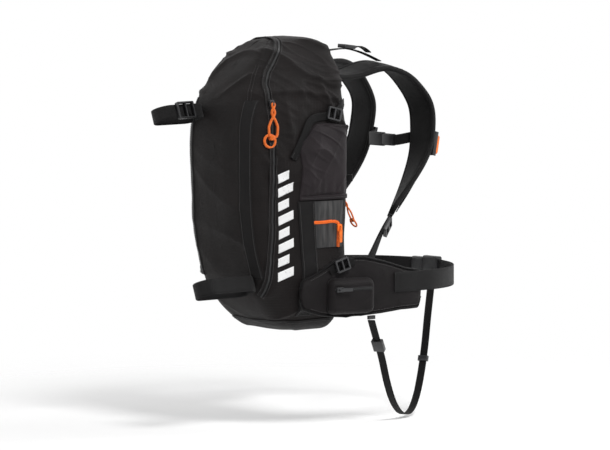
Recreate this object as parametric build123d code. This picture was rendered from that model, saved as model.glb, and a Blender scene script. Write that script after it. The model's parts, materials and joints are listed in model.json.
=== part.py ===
from build123d import *
from functools import lru_cache
from math import atan2, cos, degrees, pi, radians, sin, sqrt
import os

# Ski-touring airbag backpack, in millimetres. +Z is up, the wearer faces +Y and
# +X is the wearer's right. The shapes are drawn from the plane of the bag's back
# wall (y = 0, the bag lies at y < 0) and saved moved back by the pads, so that the
# origin of the saved parts is the middle of the face that lies on the wearer.

# --- clearances and stock thicknesses ---
GAP = 0.3            # between neighbours that are sewn, glued or laid together
SHELL = 2.4          # bag fabric with its foam liner
TAPE = 1.0           # zip tape
COIL = 0.8           # height of a zip's coil above the fabric
WEBBING = 1.6        # flat webbing
PATCH = 1.0          # sewn-on fabric patch
PAD = 16.0           # back pad foam
STRAP_FOAM = 12.0    # shoulder strap
WING_FOAM = 14.0     # hip wing

# --- the bag ---
TOP_Z = 288.0        # crown
BASE_Z = -272.0      # lowest point
GIRTH_Z = 40.0       # height of the widest section
HALF_WIDTH = 139.0   # at the back wall
FRONT_HALF = 90.0    # at the outer face
DEPTH = 214.0
CROWN_DEPTH = 90.0   # how far forward of the back wall the crown closes
BASE_DEPTH = 40.0    # how far forward the base closes
BACK_RADIUS = 25.0
FRONT_RADIUS = 43.0
WIDTH_POWER = (2.7, 4.0)   # superellipse powers of the half width, above and below
DEPTH_POWER = (3.0, 2.5)   # the same for the depth
BACK_POWER = 8.0           # how late the back wall leans in to the crown
LEVELS = (-0.985, -0.95, -0.87, -0.75, -0.58, -0.38, -0.15, 0.12, 0.38, 0.58, 0.75, 0.87, 0.95, 0.985)

# --- front zip, seen from the side: over the crown, then straight down ---
ZIP_DEPTH = 166.0    # of its straight run
ZIP_BEND_Z = 200.0
ZIP_LEAN = 47.0      # degrees that the upper run leans back
ZIP_BEND_RADIUS = 60.0
ZIP_FOOT_Z = -200.0
COIL_WIDTH = 5.4
SLOT = COIL_WIDTH + 2 * GAP
TAPE_WIDTH = 22.0

# --- back door with its zip ---
DOOR_HALF = 98.0
DOOR_TOP = 172.0
DOOR_FOOT = -228.0
DOOR_TOP_RADIUS = 70.0
DOOR_FOOT_RADIUS = 75.0
BACK_TAPE = 4.0      # width of the tape that is sewn under the bag wall
DOOR_THICK = 5.0

# --- straps and belt ---
STRAP_WIDTHS = (62, 64, 64, 62, 56, 46)   # shoulder strap, root to end
BELT_WEBBING = 38.0
BELT_Z = -182.0      # centre line of the belt webbing
BELT_FRONT = 316.0   # centre line's furthest point in front of the bag's back
SIDE_WEBBING = 15.0
HARNESS_WEBBING = 20.0
SKI_LEAN = 19.4      # degrees from upright at which skis are carried


def share(fraction, power):
    """Superellipse: what is left of the full size at this fraction of the height."""
    return (1 - abs(fraction) ** power) ** (1 / power)


def sizes(fraction):
    """Half width at the back, depth of the outer face and of the back wall."""
    if fraction > 0:
        width = HALF_WIDTH * share(fraction, WIDTH_POWER[0])
        front = CROWN_DEPTH + (DEPTH - CROWN_DEPTH) * share(fraction, DEPTH_POWER[0])
        back = CROWN_DEPTH * (1 - share(fraction, BACK_POWER))
    else:
        width = HALF_WIDTH * share(fraction, WIDTH_POWER[1])
        front = BASE_DEPTH + (DEPTH - BASE_DEPTH) * share(fraction, DEPTH_POWER[1])
        back = 0.0
    return width, front, back


def outline(fraction, grow):
    """Horizontal section of the bag, a rounded trapezoid grown all round by `grow`."""
    width, front, back = sizes(fraction)
    height = TOP_Z - GIRTH_Z if fraction > 0 else GIRTH_Z - BASE_Z
    scale = width / HALF_WIDTH
    narrow = width * FRONT_HALF / HALF_WIDTH
    taper = (width - narrow) / (front - back)
    lean = sqrt(1 + taper**2)
    back_half = width + grow * (lean + taper)
    front_half = narrow + grow * (lean - taper)
    wire = FilletPolyline(
        (-back_half, grow - back),
        (back_half, grow - back),
        (front_half, -front - grow),
        (-front_half, -front - grow),
        radius=[BACK_RADIUS * scale + grow] * 2 + [FRONT_RADIUS * scale + grow] * 2,
        close=True,
    )
    return Pos(0, 0, GIRTH_Z + fraction * (height + grow)) * make_face(wire)


@lru_cache(maxsize=None)
def bag(grow=0.0):
    """Solid of the bag's outer shape, grown all round by `grow`."""
    return loft([outline(fraction, grow) for fraction in LEVELS])


def skin(inner, outer):
    """Layer that follows the bag between two distances from its outer face."""
    return bag(outer) - bag(inner)


def side_x(y, z):
    """Half width of the bag at this depth and height, its corners left square."""
    height = TOP_Z - GIRTH_Z if z > GIRTH_Z else GIRTH_Z - BASE_Z
    width, front, back = sizes((z - GIRTH_Z) / height)
    return width - width * (1 - FRONT_HALF / HALF_WIDTH) * (-back - y) / (front - back)


def on_side(y, z, lift=0.0):
    """Plane on the bag's right side: local x runs to the back, y up, z outward."""
    along_y = side_x(y + 1, z) - side_x(y, z)
    along_z = (side_x(y, z + 1) - side_x(y, z - 1)) / 2
    normal = Vector(1, -along_y, -along_z).normalized()
    origin = Vector(side_x(y, z), y, z) + normal * lift
    return Plane(origin, x_dir=(along_y, 1, 0), z_dir=normal)


SIDE_PLANE = Plane.YZ.offset(FRONT_HALF / 2)


def side_prism(*points, radius=0.0):
    """Bar through the right side whose outline is given in depth and height."""
    line = FilletPolyline(*points, radius=radius, close=True) if radius else Polyline(*points, close=True)
    return extrude(SIDE_PLANE * make_face(line), 2 * HALF_WIDTH)


def side_strip(points, width):
    """Bar through the right side along a line of points, `width` wide."""
    half = width / 2
    bars = []
    for (y0, z0), (y1, z1) in zip(points, points[1:]):
        long = sqrt((y1 - y0) ** 2 + (z1 - z0) ** 2)
        bar = Pos((y0 + y1) / 2, (z0 + z1) / 2) * Rot(0, 0, degrees(atan2(z1 - z0, y1 - y0)))
        bars.append(bar * Rectangle(long, width))
    for y, z in points[1:-1]:
        bars.append(Pos(y, z) * Circle(half))
    face = bars[0]
    for bar in bars[1:]:
        face = face + bar
    return extrude(SIDE_PLANE * face, 2 * HALF_WIDTH)


def left_of(part):
    """The same piece on the wearer's left."""
    return mirror(part, about=Plane.YZ)


def spread(values, fraction):
    """Value at a fraction of the way along a list of evenly spread ones."""
    place = fraction * (len(values) - 1)
    index = min(int(place), len(values) - 2)
    rest = place - index
    return values[index] * (1 - rest) + values[index + 1] * rest


class Ribbon:
    """Flat strap along a smooth line, its width laid along `across`."""

    def __init__(self, points, widths, across, thick, tangents=None):
        self.line = Spline(*points, tangents=tangents)
        self.widths = widths
        self.across = [Vector(*direction) for direction in across]
        self.thick = thick

    def plane(self, fraction):
        """Local x lies across the strap, y into its inner face and z along it."""
        along = self.line.tangent_at(fraction)
        wide = spread(self.across, fraction)
        wide = wide - along * wide.dot(along)
        return Plane(self.line.position_at(fraction), x_dir=wide, z_dir=along)

    def solid(self, grow=0.0, start=0.0, end=1.0, steps=12):
        """The strap from one fraction of its length to another, grown all round."""
        sections = []
        for step in range(steps + 1):
            fraction = start + (end - start) * step / steps
            section = Rectangle(spread(self.widths, fraction) + 2 * grow, self.thick + 2 * grow)
            sections.append(self.plane(fraction) * section)
        return loft(sections)

    def outside(self, fraction, across=0.0, lift=0.0):
        """Place on the outer face, `lift` above it."""
        return self.plane(fraction).location * Pos(across, -self.thick / 2 - lift, 0)


def ladder_lock(wide, long, thick, bar=3.0):
    """Buckle frame with two slots and a bar between; x across, y through, z along."""
    frame = Box(wide, thick, long)
    frame = fillet(frame.edges().filter_by(Axis.Y), 2.5)
    slot = Box(wide - 2 * bar, thick + 2, (long - 3 * bar) / 2)
    shift = (long - bar) / 4
    return frame - Pos(0, 0, shift) * slot - Pos(0, 0, -shift) * slot


def save(name, *shapes):
    """Write one node, moved so that the origin lies on the pads' outer face."""
    solids = [solid for shape in shapes for solid in shape.solids()]
    export_step(Pos(0, -PAD - GAP, 0) * Compound(solids), f"parts/{name}.step")


os.makedirs("parts", exist_ok=True)
BAR = 2 * HALF_WIDTH     # long enough to cut right through the bag


# --- bag shells, front zip and divider ---
def zip_region(shift, foot):
    """Everything forward of the front zip's line, moved `shift` forward."""
    turn = radians(ZIP_LEAN)
    corner_y = -ZIP_DEPTH - shift
    corner_z = ZIP_BEND_Z + shift * (1 / cos(turn) - 1) / (sin(turn) / cos(turn))
    reach = 2 * DEPTH
    top = (corner_y + reach * sin(turn), corner_z + reach * cos(turn))
    line = FilletPolyline(
        top,
        (corner_y, corner_z),
        (corner_y, foot),
        radius=ZIP_BEND_RADIUS + shift,
    )
    rest = Polyline((corner_y, foot), (-reach, foot), (-reach, top[1]), top)
    return extrude(Plane.YZ * make_face(line.edges() + rest.edges()), BAR, both=True)


def zip_band(half):
    """The strip on both sides of the front zip's line."""
    return zip_region(-half, ZIP_FOOT_Z + GAP) - zip_region(half, ZIP_FOOT_Z - GAP)


def door(grow, depth_from, depth_to):
    """Block of the back door's outline, grown by `grow`, between two depths."""
    half = DOOR_HALF + grow
    line = FilletPolyline(
        (-half, DOOR_FOOT - grow),
        (half, DOOR_FOOT - grow),
        (half, DOOR_TOP + grow),
        (-half, DOOR_TOP + grow),
        radius=[DOOR_FOOT_RADIUS + grow] * 2 + [DOOR_TOP_RADIUS + grow] * 2,
        close=True,
    )
    face = make_face(Plane.XZ.offset(-depth_from) * line)
    return extrude(face, depth_from - depth_to)


bag_shell = skin(-SHELL, 0)
front_shell = bag_shell & zip_region(SLOT / 2, ZIP_FOOT_Z)
main_shell = bag_shell - zip_region(-SLOT / 2, ZIP_FOOT_Z - GAP) - door(SLOT, -BACK_RADIUS / 2, 2 * PAD)
save("main_shell", main_shell)
save("front_shell", front_shell)

tape_outer = -SHELL - GAP
tape = skin(tape_outer - TAPE, tape_outer) & zip_band(TAPE_WIDTH / 2)
coil = skin(tape_outer, COIL) & zip_band(COIL_WIDTH / 2)
save("front_zip", tape + coil)

divider_shift = -TAPE_WIDTH / 2 - 2.0
divider = zip_region(divider_shift, ZIP_FOOT_Z + 2 * SHELL) - zip_region(
    divider_shift + PATCH, ZIP_FOOT_Z + SHELL
)
save("divider_panel", bag(tape_outer) & divider)

below = Pos(0, -DEPTH / 2, BASE_Z) * Box(BAR, 2 * DEPTH, 2 * 26.0)
save("base_panel", skin(GAP, GAP + PATCH + 0.6) & below)

# --- back door, pads and frame ---
save("back_panel", door(0, 0, -DOOR_THICK))
back_tape_y = tape_outer - 2 * GAP
back_tape_foot = back_tape_y - TAPE
back_zip = door(SLOT - GAP, COIL, back_tape_foot) + door(SLOT + BACK_TAPE, back_tape_y, back_tape_foot)
save("back_zip", back_zip - door(GAP, 2 * COIL, 2 * tape_outer))

PAD_WIDTH = 70.0
PAD_INNER = 22.0
PAD_FOOT_Z = -92.0
PAD_TOP_Z = 146.0
LUMBAR_HALF = 84.0
LUMBAR_TOP_Z = -106.0
LUMBAR_FOOT_Z = -210.0


def foam_block(x_from, x_to, z_from, z_to, corner):
    """Foam pad on the back door with rounded corners and eased wearer-side edges."""
    face = RectangleRounded(x_to - x_from, z_to - z_from, corner)
    place = Plane.XZ.offset(-GAP) * Pos((x_from + x_to) / 2, (z_from + z_to) / 2)
    block = extrude(place * face, -PAD)
    return fillet(block.faces().sort_by(Axis.Y)[-1].edges(), 7.0)


back_pad = foam_block(PAD_INNER, PAD_INNER + PAD_WIDTH, PAD_FOOT_Z, PAD_TOP_Z, 26.0)
save("back_pads", back_pad, left_of(back_pad))
save("lumbar_pad", foam_block(-LUMBAR_HALF, LUMBAR_HALF, LUMBAR_FOOT_Z, LUMBAR_TOP_Z, 30.0))

SHEET = 1.5
sheet_y = -DOOR_THICK - GAP
save("frame_sheet", door(-12.0, sheet_y, sheet_y - SHEET))
STAY_WIDTH = 14.0
STAY_THICK = 3.0
STAY_HALF_SPAN = 50.0
stay_y = sheet_y - SHEET - GAP
stay = Pos(STAY_HALF_SPAN, stay_y - STAY_THICK / 2, (DOOR_TOP + DOOR_FOOT) / 2) * Box(
    STAY_WIDTH, STAY_THICK, DOOR_TOP - DOOR_FOOT - 60.0
)
save("frame_stays", stay, left_of(stay))

# --- airbag and its electric inflator ---
DUCT_RADIUS = 32.0
DUCT_WALL = 3.0
DUCT_LENGTH = 124.0
DUCT_Z = 104.0
foot_y = stay_y - STAY_THICK - GAP
duct_y = foot_y - DUCT_RADIUS - DUCT_WALL - 4.0
duct_outer = DUCT_RADIUS + DUCT_WALL
ALONG_X = Rot(0, 90, 0)
duct_place = Pos(0, duct_y, DUCT_Z)
STUB_RADIUS = 13.0
STUB_X = -38.0
MOTOR_RADIUS = 14.0
MOTOR_LENGTH = 34.0
MOTOR_X = 2.0
SPIDER = 3.0
ROLL_RADIUS = 35.0
ROLL_HALF = 48.0
ROLL_Z = 206.0
FAN_X = 36.0

housing = duct_place * ALONG_X * Cylinder(duct_outer, DUCT_LENGTH)
housing_foot = Box(DUCT_LENGTH - 20, foot_y - duct_y, 2 * DUCT_RADIUS - 10)
housing += Pos(0, (foot_y + duct_y) / 2, DUCT_Z) * housing_foot
housing += Pos(STUB_X, duct_y, (DUCT_Z + ROLL_Z - ROLL_RADIUS - GAP) / 2) * Cylinder(
    STUB_RADIUS, ROLL_Z - ROLL_RADIUS - GAP - DUCT_Z
)
housing -= duct_place * ALONG_X * Cylinder(DUCT_RADIUS, DUCT_LENGTH + 2)
housing -= Pos(STUB_X, duct_y, DUCT_Z + ROLL_RADIUS) * Cylinder(STUB_RADIUS - DUCT_WALL, 3 * ROLL_RADIUS)
spider_x = MOTOR_X - MOTOR_LENGTH / 2 - SPIDER / 2 - GAP
spider = Pos(spider_x, duct_y, DUCT_Z) * ALONG_X * Cylinder(MOTOR_RADIUS, SPIDER)
for arm in range(3):
    spoke = Pos(spider_x, duct_y, DUCT_Z) * Rot(120 * arm, 0, 0)
    spoke_long = DUCT_RADIUS + DUCT_WALL / 2
    spider += spoke * Pos(0, 0, spoke_long / 2) * Box(SPIDER, 8.0, spoke_long)
save("inflator_housing", housing + spider)

grille_x = DUCT_LENGTH / 2 - DUCT_WALL / 2
grille = Pos(grille_x, duct_y, DUCT_Z) * ALONG_X * Cylinder(DUCT_RADIUS - GAP, DUCT_WALL)
for row in range(-3, 4):
    slot_half = sqrt((DUCT_RADIUS - 6) ** 2 - (8.0 * row) ** 2)
    grille -= Pos(grille_x, duct_y, DUCT_Z + 8.0 * row) * Box(3 * DUCT_WALL, 2 * slot_half, 4.5)
save("intake_grille", grille)

SHAFT_RADIUS = 2.5
HUB_RADIUS = 10.0
HUB_LENGTH = 14.0
motor = Pos(MOTOR_X, duct_y, DUCT_Z) * ALONG_X * Cylinder(MOTOR_RADIUS, MOTOR_LENGTH)
shaft_end = FAN_X + HUB_LENGTH / 2 - 2.0
shaft = ALONG_X * Cylinder(SHAFT_RADIUS, shaft_end - MOTOR_X)
motor += Pos((MOTOR_X + shaft_end) / 2, duct_y, DUCT_Z) * shaft
save("fan_motor", motor)

hub = Cylinder(HUB_RADIUS, HUB_LENGTH)
blade_reach = DUCT_RADIUS - 1.5
for blade in range(7):
    vane = Pos(0, (HUB_RADIUS + blade_reach) / 2 - 1.0, 0) * Rot(0, 38, 0) * Box(
        14.0, blade_reach - HUB_RADIUS + 2.0, 1.6
    )
    hub += Rot(0, 0, 360 / 7 * blade) * vane
hub -= Pos(0, 0, -2.0) * Cylinder(SHAFT_RADIUS + GAP / 2, HUB_LENGTH)
save("fan_rotor", Pos(FAN_X, duct_y, DUCT_Z) * ALONG_X * hub)

roll = Pos(0, duct_y, ROLL_Z) * ALONG_X * Cylinder(ROLL_RADIUS, 2 * ROLL_HALF)
for end in (-ROLL_HALF, ROLL_HALF):
    roll += Pos(end, duct_y, ROLL_Z) * Sphere(ROLL_RADIUS)
save("airbag_roll", roll)

CELL_RADIUS = 10.0
CELL_LENGTH = 70.0
TRAY_HALF = 56.0
TRAY_Z = 22.0
TRAY_HEIGHT = 60.0
TRAY_DEPTH = 56.0
BOTTLE_RADIUS = 9.0
tray = Pos(0, foot_y - TRAY_DEPTH / 2, TRAY_Z) * Box(2 * TRAY_HALF, TRAY_DEPTH, TRAY_HEIGHT)
cells = []
bottles = []
for column in range(4):
    for row in range(2):
        x = (column - 1.5) * (2 * CELL_RADIUS + 6.0)
        y = foot_y - TRAY_DEPTH / 2 + (row - 0.5) * (2 * CELL_RADIUS + 6.0)
        radius = BOTTLE_RADIUS if column == 3 else CELL_RADIUS
        tray -= Pos(x, y, TRAY_Z + 4.0) * Cylinder(radius + GAP, TRAY_HEIGHT)
        base = TRAY_Z - TRAY_HEIGHT / 2 + 4.0
        cell = Pos(x, y, base + GAP) * Cylinder(
            radius, CELL_LENGTH, align=(Align.CENTER, Align.CENTER, Align.MIN)
        )
        cell = fillet(cell.edges().sort_by(Axis.Z)[-1], 2.5)
        (bottles if column == 3 else cells).append(cell)
tray_hollow = Box(BAR, TRAY_DEPTH - 2 * DUCT_WALL, 30.0)
tray -= Pos(0, foot_y - TRAY_DEPTH / 2, TRAY_Z + TRAY_HEIGHT / 2 - 8.0) * tray_hollow
save("power_tray", tray)
save("capacitors", *cells)
save("gas_cartridges", *bottles)

# --- side straps, bands and panels ---
STRAP_SKIN = GAP + WEBBING
PANEL_SKIN = GAP + PATCH
POCKET_BULGE = 7.0
compression_line = [(-9, 151), (-33, 137), (-86, 125), (-127, 57)]
compression_bar = side_strip(compression_line, SIDE_WEBBING)
compression = skin(GAP, STRAP_SKIN) & compression_bar

LOCK_WIDE = 24.0
LOCK_LONG = 28.0
LOCK_THICK = 7.0
LOCK_SLOPE = 165.0
lock_place = on_side(-40, 135, STRAP_SKIN + GAP + LOCK_THICK / 2).location * Rot(0, 0, LOCK_SLOPE)
lock_turn = Rot(0, 90, 0) * Rot(0, 0, 90)
compression_lock = lock_place * lock_turn * ladder_lock(LOCK_WIDE, LOCK_LONG, LOCK_THICK)

pocket_block = side_prism((-105, -20), (-15, -20), (-15, 112), (-105, 112), radius=14)
pocket = (skin(GAP, POCKET_BULGE) & pocket_block) - side_strip(compression_line, SIDE_WEBBING + 2)
save("side_pocket_right", pocket)
save("side_pocket_left", left_of(pocket))

band_line = [(-101, -24), (-82, -238)]
BAND_WIDTH = 30.0
seam_band = skin(GAP, PANEL_SKIN) & side_strip(band_line, BAND_WIDTH)
save("seam_bands", seam_band, left_of(seam_band))

ZIP_TOP_Z = -64.0
ZIP_REAR_Y = -31.0
zip_line = [(-84, ZIP_TOP_Z), (ZIP_REAR_Y, ZIP_TOP_Z), (ZIP_REAR_Y, -110)]
side_coil_bar = side_strip(zip_line, COIL_WIDTH)
window = skin(GAP, PANEL_SKIN) & side_prism((-84, -111), (-12, -111), (-12, -27), (-84, -27), radius=6)
window = window - side_strip(zip_line, SLOT) - side_strip(band_line, BAND_WIDTH + 2 * GAP)
save("window_panels", window, left_of(window))
side_zip = skin(GAP, PANEL_SKIN + COIL) & (side_coil_bar - side_strip(band_line, BAND_WIDTH + 2 * GAP))
save("side_zips", side_zip, left_of(side_zip))

SLIDER_WIDE = 9.0
SLIDER_LONG = 14.0
SLIDER_THICK = 4.0
BAIL = 6.6
EYE = 2.3
side_zip_start = -76.0


def zip_slider(turn=0.0):
    """Slider seated on z = 0: x across the zip, y along it, its puller's eye turned about y."""
    body = Pos(0, 0, SLIDER_THICK / 2) * Box(SLIDER_WIDE, SLIDER_LONG, SLIDER_THICK)
    body = fillet(body.edges().filter_by(Axis.Z), 2.0)
    bail = Pos(0, 0, SLIDER_THICK + BAIL / 2) * Box(3.0, 8.0, BAIL)
    eye = Pos(0, 0, SLIDER_THICK + BAIL / 2) * Rot(0, turn, 0) * ALONG_X * Cylinder(EYE, 16.0)
    return body + bail - eye


def tab_puller(length):
    """Moulded puller fixed flat over the slider, hanging along -y."""
    plate = Pos(0, -length / 2 - 3.0, SLIDER_THICK + BAIL / 2) * Box(6.0, length, 2.4)
    return fillet(plate.edges().filter_by(Axis.Z), 2.4)


side_slider_plane = on_side(ZIP_REAR_Y, side_zip_start, PANEL_SKIN + COIL + GAP)
side_slider = zip_slider() + tab_puller(24.0)
save("side_zip_slider", side_slider_plane.location * side_slider)

# --- front strips, ski loops ---
STRIP_INNER = 62.0
STRIP_WIDTH = 22.0
STRIP_FOOT_Z = -168.0
STRIP_TOP_Z = 165.0
strip_middle = (STRIP_INNER + STRIP_WIDTH / 2, -ZIP_DEPTH - SLOT - DEPTH / 2, (STRIP_FOOT_Z + STRIP_TOP_Z) / 2)
strip_block = Pos(*strip_middle) * Box(STRIP_WIDTH, DEPTH, STRIP_TOP_Z - STRIP_FOOT_Z)
strip = skin(GAP, PANEL_SKIN) & strip_block
save("front_strips", strip, left_of(strip))

LOOP_WIDE = 50.0
UPPER_LOOP = (-58.0, -261.0, 135.0)
UPPER_LOOP_LONG = 108.0
LOWER_LOOP = (53.0, -244.0, -181.0)
LOWER_LOOP_LONG = 132.0


def ski_loop(centre, long, wall, tall):
    """Flat-sided ring of webbing round a pair of skis, trimmed to the bag's front."""
    ring = RectangleRounded(LOOP_WIDE, long, LOOP_WIDE / 2 - 0.1)
    ring -= RectangleRounded(LOOP_WIDE - 2 * wall, long - 2 * wall, LOOP_WIDE / 2 - wall - 0.1)
    return Pos(*centre) * Rot(0, -SKI_LEAN, 0) * extrude(ring, tall / 2, both=True) - bag(PANEL_SKIN + GAP)


save("ski_strap_upper", ski_loop(UPPER_LOOP, UPPER_LOOP_LONG, 2.0, 26.0))
save("ski_loop_lower", ski_loop(LOWER_LOOP, LOWER_LOOP_LONG, 3.0, 30.0))
buckle_place = Pos(*UPPER_LOOP) * Rot(0, -SKI_LEAN, 0) * Pos(LOOP_WIDE / 2 + GAP + 4.0, -4.0, 0)
save("ski_strap_buckle", buckle_place * Rot(90, 0, 0) * Rot(0, 0, 90) * ladder_lock(32.0, 40.0, 8.0))

# --- haul handle ---
HAUL_HALF = 50.0
HAUL_Z = 241.0
HAUL_RISE = 21.0
HAUL_WIDTH = 20.0
HAUL_THICK = 3.0
HAUL_Y = -2.0
haul_line = ThreePointArc((-HAUL_HALF, HAUL_Z), (0, HAUL_Z + HAUL_RISE - HAUL_THICK), (HAUL_HALF, HAUL_Z))
haul_outer = ThreePointArc(
    (-HAUL_HALF - HAUL_THICK, HAUL_Z), (0, HAUL_Z + HAUL_RISE), (HAUL_HALF + HAUL_THICK, HAUL_Z)
)
haul_ends = [
    Line((-HAUL_HALF - HAUL_THICK, HAUL_Z), (-HAUL_HALF, HAUL_Z)),
    Line((HAUL_HALF, HAUL_Z), (HAUL_HALF + HAUL_THICK, HAUL_Z)),
]
haul_face = make_face([haul_line, haul_outer] + haul_ends)
haul_place = Plane(origin=(0, HAUL_Y, 0), x_dir=(1, 0, 0), z_dir=(0, -1, 0))
save("haul_handle", extrude(haul_place * haul_face, -HAUL_WIDTH))

# --- shoulder straps ---
SHOULDER_Z = 214.0       # centre line over the shoulder
CHEST_Y = 227.0          # centre line's furthest point in front
strap_points = [
    (62, -6, 200.5),
    (60, 65, SHOULDER_Z - 10),
    (66, 118, SHOULDER_Z + 1),
    (72, 170, SHOULDER_Z - 13),
    (76, 203, 172),
    (80, CHEST_Y - 1, 135),
    (84, CHEST_Y, 100),
    (88, CHEST_Y - 9, 56),
    (93, CHEST_Y - 35, 12),
    (98, CHEST_Y - 65, -24),
    (104, CHEST_Y - 102, -63),
]
strap_across = [(1, 0, 0), (1, 0, -0.14), (1, 0, -0.14), (1, 0.05, 0), (1, 0, 0)]
strap_across += [(0.85, -0.4, 0), (0.66, -0.75, 0)]
shoulder = Ribbon(strap_points, STRAP_WIDTHS, strap_across, STRAP_FOAM)
shoulder_strap = shoulder.solid(steps=16) - bag(GAP)
shoulder_strap = shoulder_strap.solids().sort_by(SortBy.VOLUME)[-1]
save("shoulder_strap_right", shoulder_strap)
save("shoulder_strap_left", left_of(shoulder_strap))

lifter = Ribbon(
    [(70, -4, 249), (70, 40, 250.5), (70, 90, 239), (70, 128, SHOULDER_Z + 10.5)],
    (SIDE_WEBBING, SIDE_WEBBING),
    [(1, 0, 0), (1, 0, 0)],
    WEBBING,
)
lifter_webbing = lifter.solid() - bag(GAP) - shoulder.solid(grow=GAP, start=0.1, end=0.6)
lifter_webbing = lifter_webbing.solids().sort_by(SortBy.VOLUME)[-1]
save("load_lifters", lifter_webbing, left_of(lifter_webbing))
lifter_lock = lifter.outside(0.36, lift=GAP + LOCK_THICK / 2) * ladder_lock(22.0, 28.0, LOCK_THICK)
save("load_lifter_buckles", lifter_lock, left_of(lifter_lock))

lower = Ribbon(
    [(105, 121, -67), (112, 92, -100), (118, 58, -146), (123.5, 26, -176), (129.5, -8, -199)],
    (HARNESS_WEBBING, HARNESS_WEBBING),
    [(0.66, -0.75, 0), (0.1, -0.6, 0.6), (0, -0.6, 0.6)],
    2 * WEBBING,
)
lower_webbing = lower.solid() - bag(GAP)
lower_webbing = lower_webbing.solids().sort_by(SortBy.VOLUME)[-1]
save("lower_webbing", lower_webbing, left_of(lower_webbing))
adjuster = lower.outside(0.12, lift=5 * GAP + LOCK_THICK / 2) * ladder_lock(28.0, 30.0, LOCK_THICK)
save("strap_adjusters", adjuster, left_of(adjuster))

# --- sternum strap ---
STERNUM_AT = 0.648       # how far down the shoulder strap
STERNUM_Z = 70.0
STERNUM_Y = 201.0
STERNUM_HALF = 32.0
CLIP_WIDE = 15.0
CLIP_TALL = 26.0
CLIP_THICK = 7.0
clip_place = shoulder.outside(STERNUM_AT, across=-25.0, lift=GAP + CLIP_THICK / 2)
clip = clip_place * Box(CLIP_WIDE, CLIP_THICK, CLIP_TALL)
clip = fillet(clip.edges(), 1.5)
save("sternum_clips", clip, left_of(clip))

edge = (clip_place * Pos(-CLIP_WIDE / 2 - 3 * GAP, 0, 0)).position
sternum = Ribbon(
    [(edge.X, edge.Y, edge.Z), (STERNUM_HALF + GAP, STERNUM_Y, STERNUM_Z)],
    (HARNESS_WEBBING, HARNESS_WEBBING),
    [(0, 0, 1), (0, 0, 1)],
    WEBBING,
    tangents=[(-0.6, -0.75, -0.1), (-1, 0, 0)],
)
sternum_webbing = sternum.solid()
save("sternum_webbing_right", sternum_webbing)
save("sternum_webbing_left", left_of(sternum_webbing))


def side_release(half, tall, thick, travel):
    """Female and male halves of a side-release buckle along X, prongs 2 mm clear."""
    split = half * 0.12
    female = Pos((split - half) / 2, 0, 0) * Box(split + half, thick, tall)
    male = Pos((split + GAP + half) / 2, 0, 0) * Box(half - split - GAP, thick, tall * 0.86)
    female = fillet(female.edges().filter_by(Axis.X), thick * 0.3)
    male = fillet(male.edges().filter_by(Axis.X), thick * 0.3)
    prong_tall = tall * 0.16
    for side in (-1, 1):
        z = side * (tall / 2 - prong_tall / 2 - tall * 0.14)
        reach = Pos(split + GAP - travel / 2, 0, z)
        female -= Pos(split - travel / 2, 0, z) * Box(travel + 2.0, thick * 0.5 + 1.0, prong_tall + 2.0)
        male += reach * Box(travel, thick * 0.5, prong_tall)
    return female, male


sternum_female, sternum_male = side_release(STERNUM_HALF, 26.0, 10.0, 20.0)
sternum_place = Pos(0, STERNUM_Y, STERNUM_Z)
save("sternum_buckle_female", sternum_place * sternum_female)
save("sternum_buckle_male", sternum_place * sternum_male)

# --- airbag trigger on the right shoulder strap ---
TRIGGER_AT = 0.675
DOCK_WIDE = 24.0
DOCK_LONG = 46.0
DOCK_BASE = 2.5
DOCK_WALL = 2.0
HANDLE_WIDE = DOCK_WIDE - 2 * DOCK_WALL - 2 * GAP
HANDLE_THICK = 12.0
HANDLE_LONG = 36.0
dock_place = shoulder.outside(TRIGGER_AT, across=16.0, lift=GAP)
dock = Pos(0, -4.0, 0) * Box(DOCK_WIDE, 8.0, DOCK_LONG)
dock -= Pos(0, -DOCK_BASE - 5.0, 0) * Box(DOCK_WIDE - 2 * DOCK_WALL, 10.0, DOCK_LONG + 2)
save("trigger_dock", dock_place * dock)
handle = Pos(0, -DOCK_BASE - GAP - HANDLE_THICK / 2, 0) * Box(HANDLE_WIDE, HANDLE_THICK, HANDLE_LONG)
handle = fillet(handle.edges().filter_by(Axis.Y), 5.0)
save("trigger_handle", dock_place * handle)

# --- hip belt ---
WING_LIFT = PANEL_SKIN + WING_FOAM / 2
wing_stations = ((-112, -198), (-60, -196), (-10, -187))
wing_points = [(side_x(y, -150) + WING_LIFT, y, z) for y, z in wing_stations]
wing_points += [(153, 30, -188), (161, 70, -192), (165, 110, -196), (165.5, 144, -198)]
wing = Ribbon(wing_points, (52, 84, 110, 110, 96, 78, 70), [(0, 0, -1), (0, 0, -1)], WING_FOAM)
hip_wing = wing.solid(steps=14) - bag(PANEL_SKIN + GAP)
save("hip_wing_right", hip_wing)
save("hip_wing_left", left_of(hip_wing))

stabiliser_points = []
for fraction, above in ((0.25, 38.0), (0.31, 43.0), (0.37, 46.0), (0.43, 47.0)):
    place = wing.outside(fraction, across=-above, lift=3 * GAP + WEBBING / 2).position
    stabiliser_points.append((place.X, place.Y, place.Z))
stabiliser_widths = (SIDE_WEBBING, SIDE_WEBBING)
stabiliser_ribbon = Ribbon(stabiliser_points, stabiliser_widths, [(0, 0, -1), (0, 0, -1)], WEBBING)
stabiliser = stabiliser_ribbon.solid()
save("side_straps", compression, stabiliser, left_of(compression), left_of(stabiliser))
stabiliser_lock = stabiliser_ribbon.outside(0.5, lift=2 * GAP + LOCK_THICK / 2) * ladder_lock(
    LOCK_WIDE, LOCK_LONG, LOCK_THICK
)
side_locks = [compression_lock, stabiliser_lock]
save("side_strap_buckles", *side_locks, *[left_of(lock) for lock in side_locks])

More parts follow.
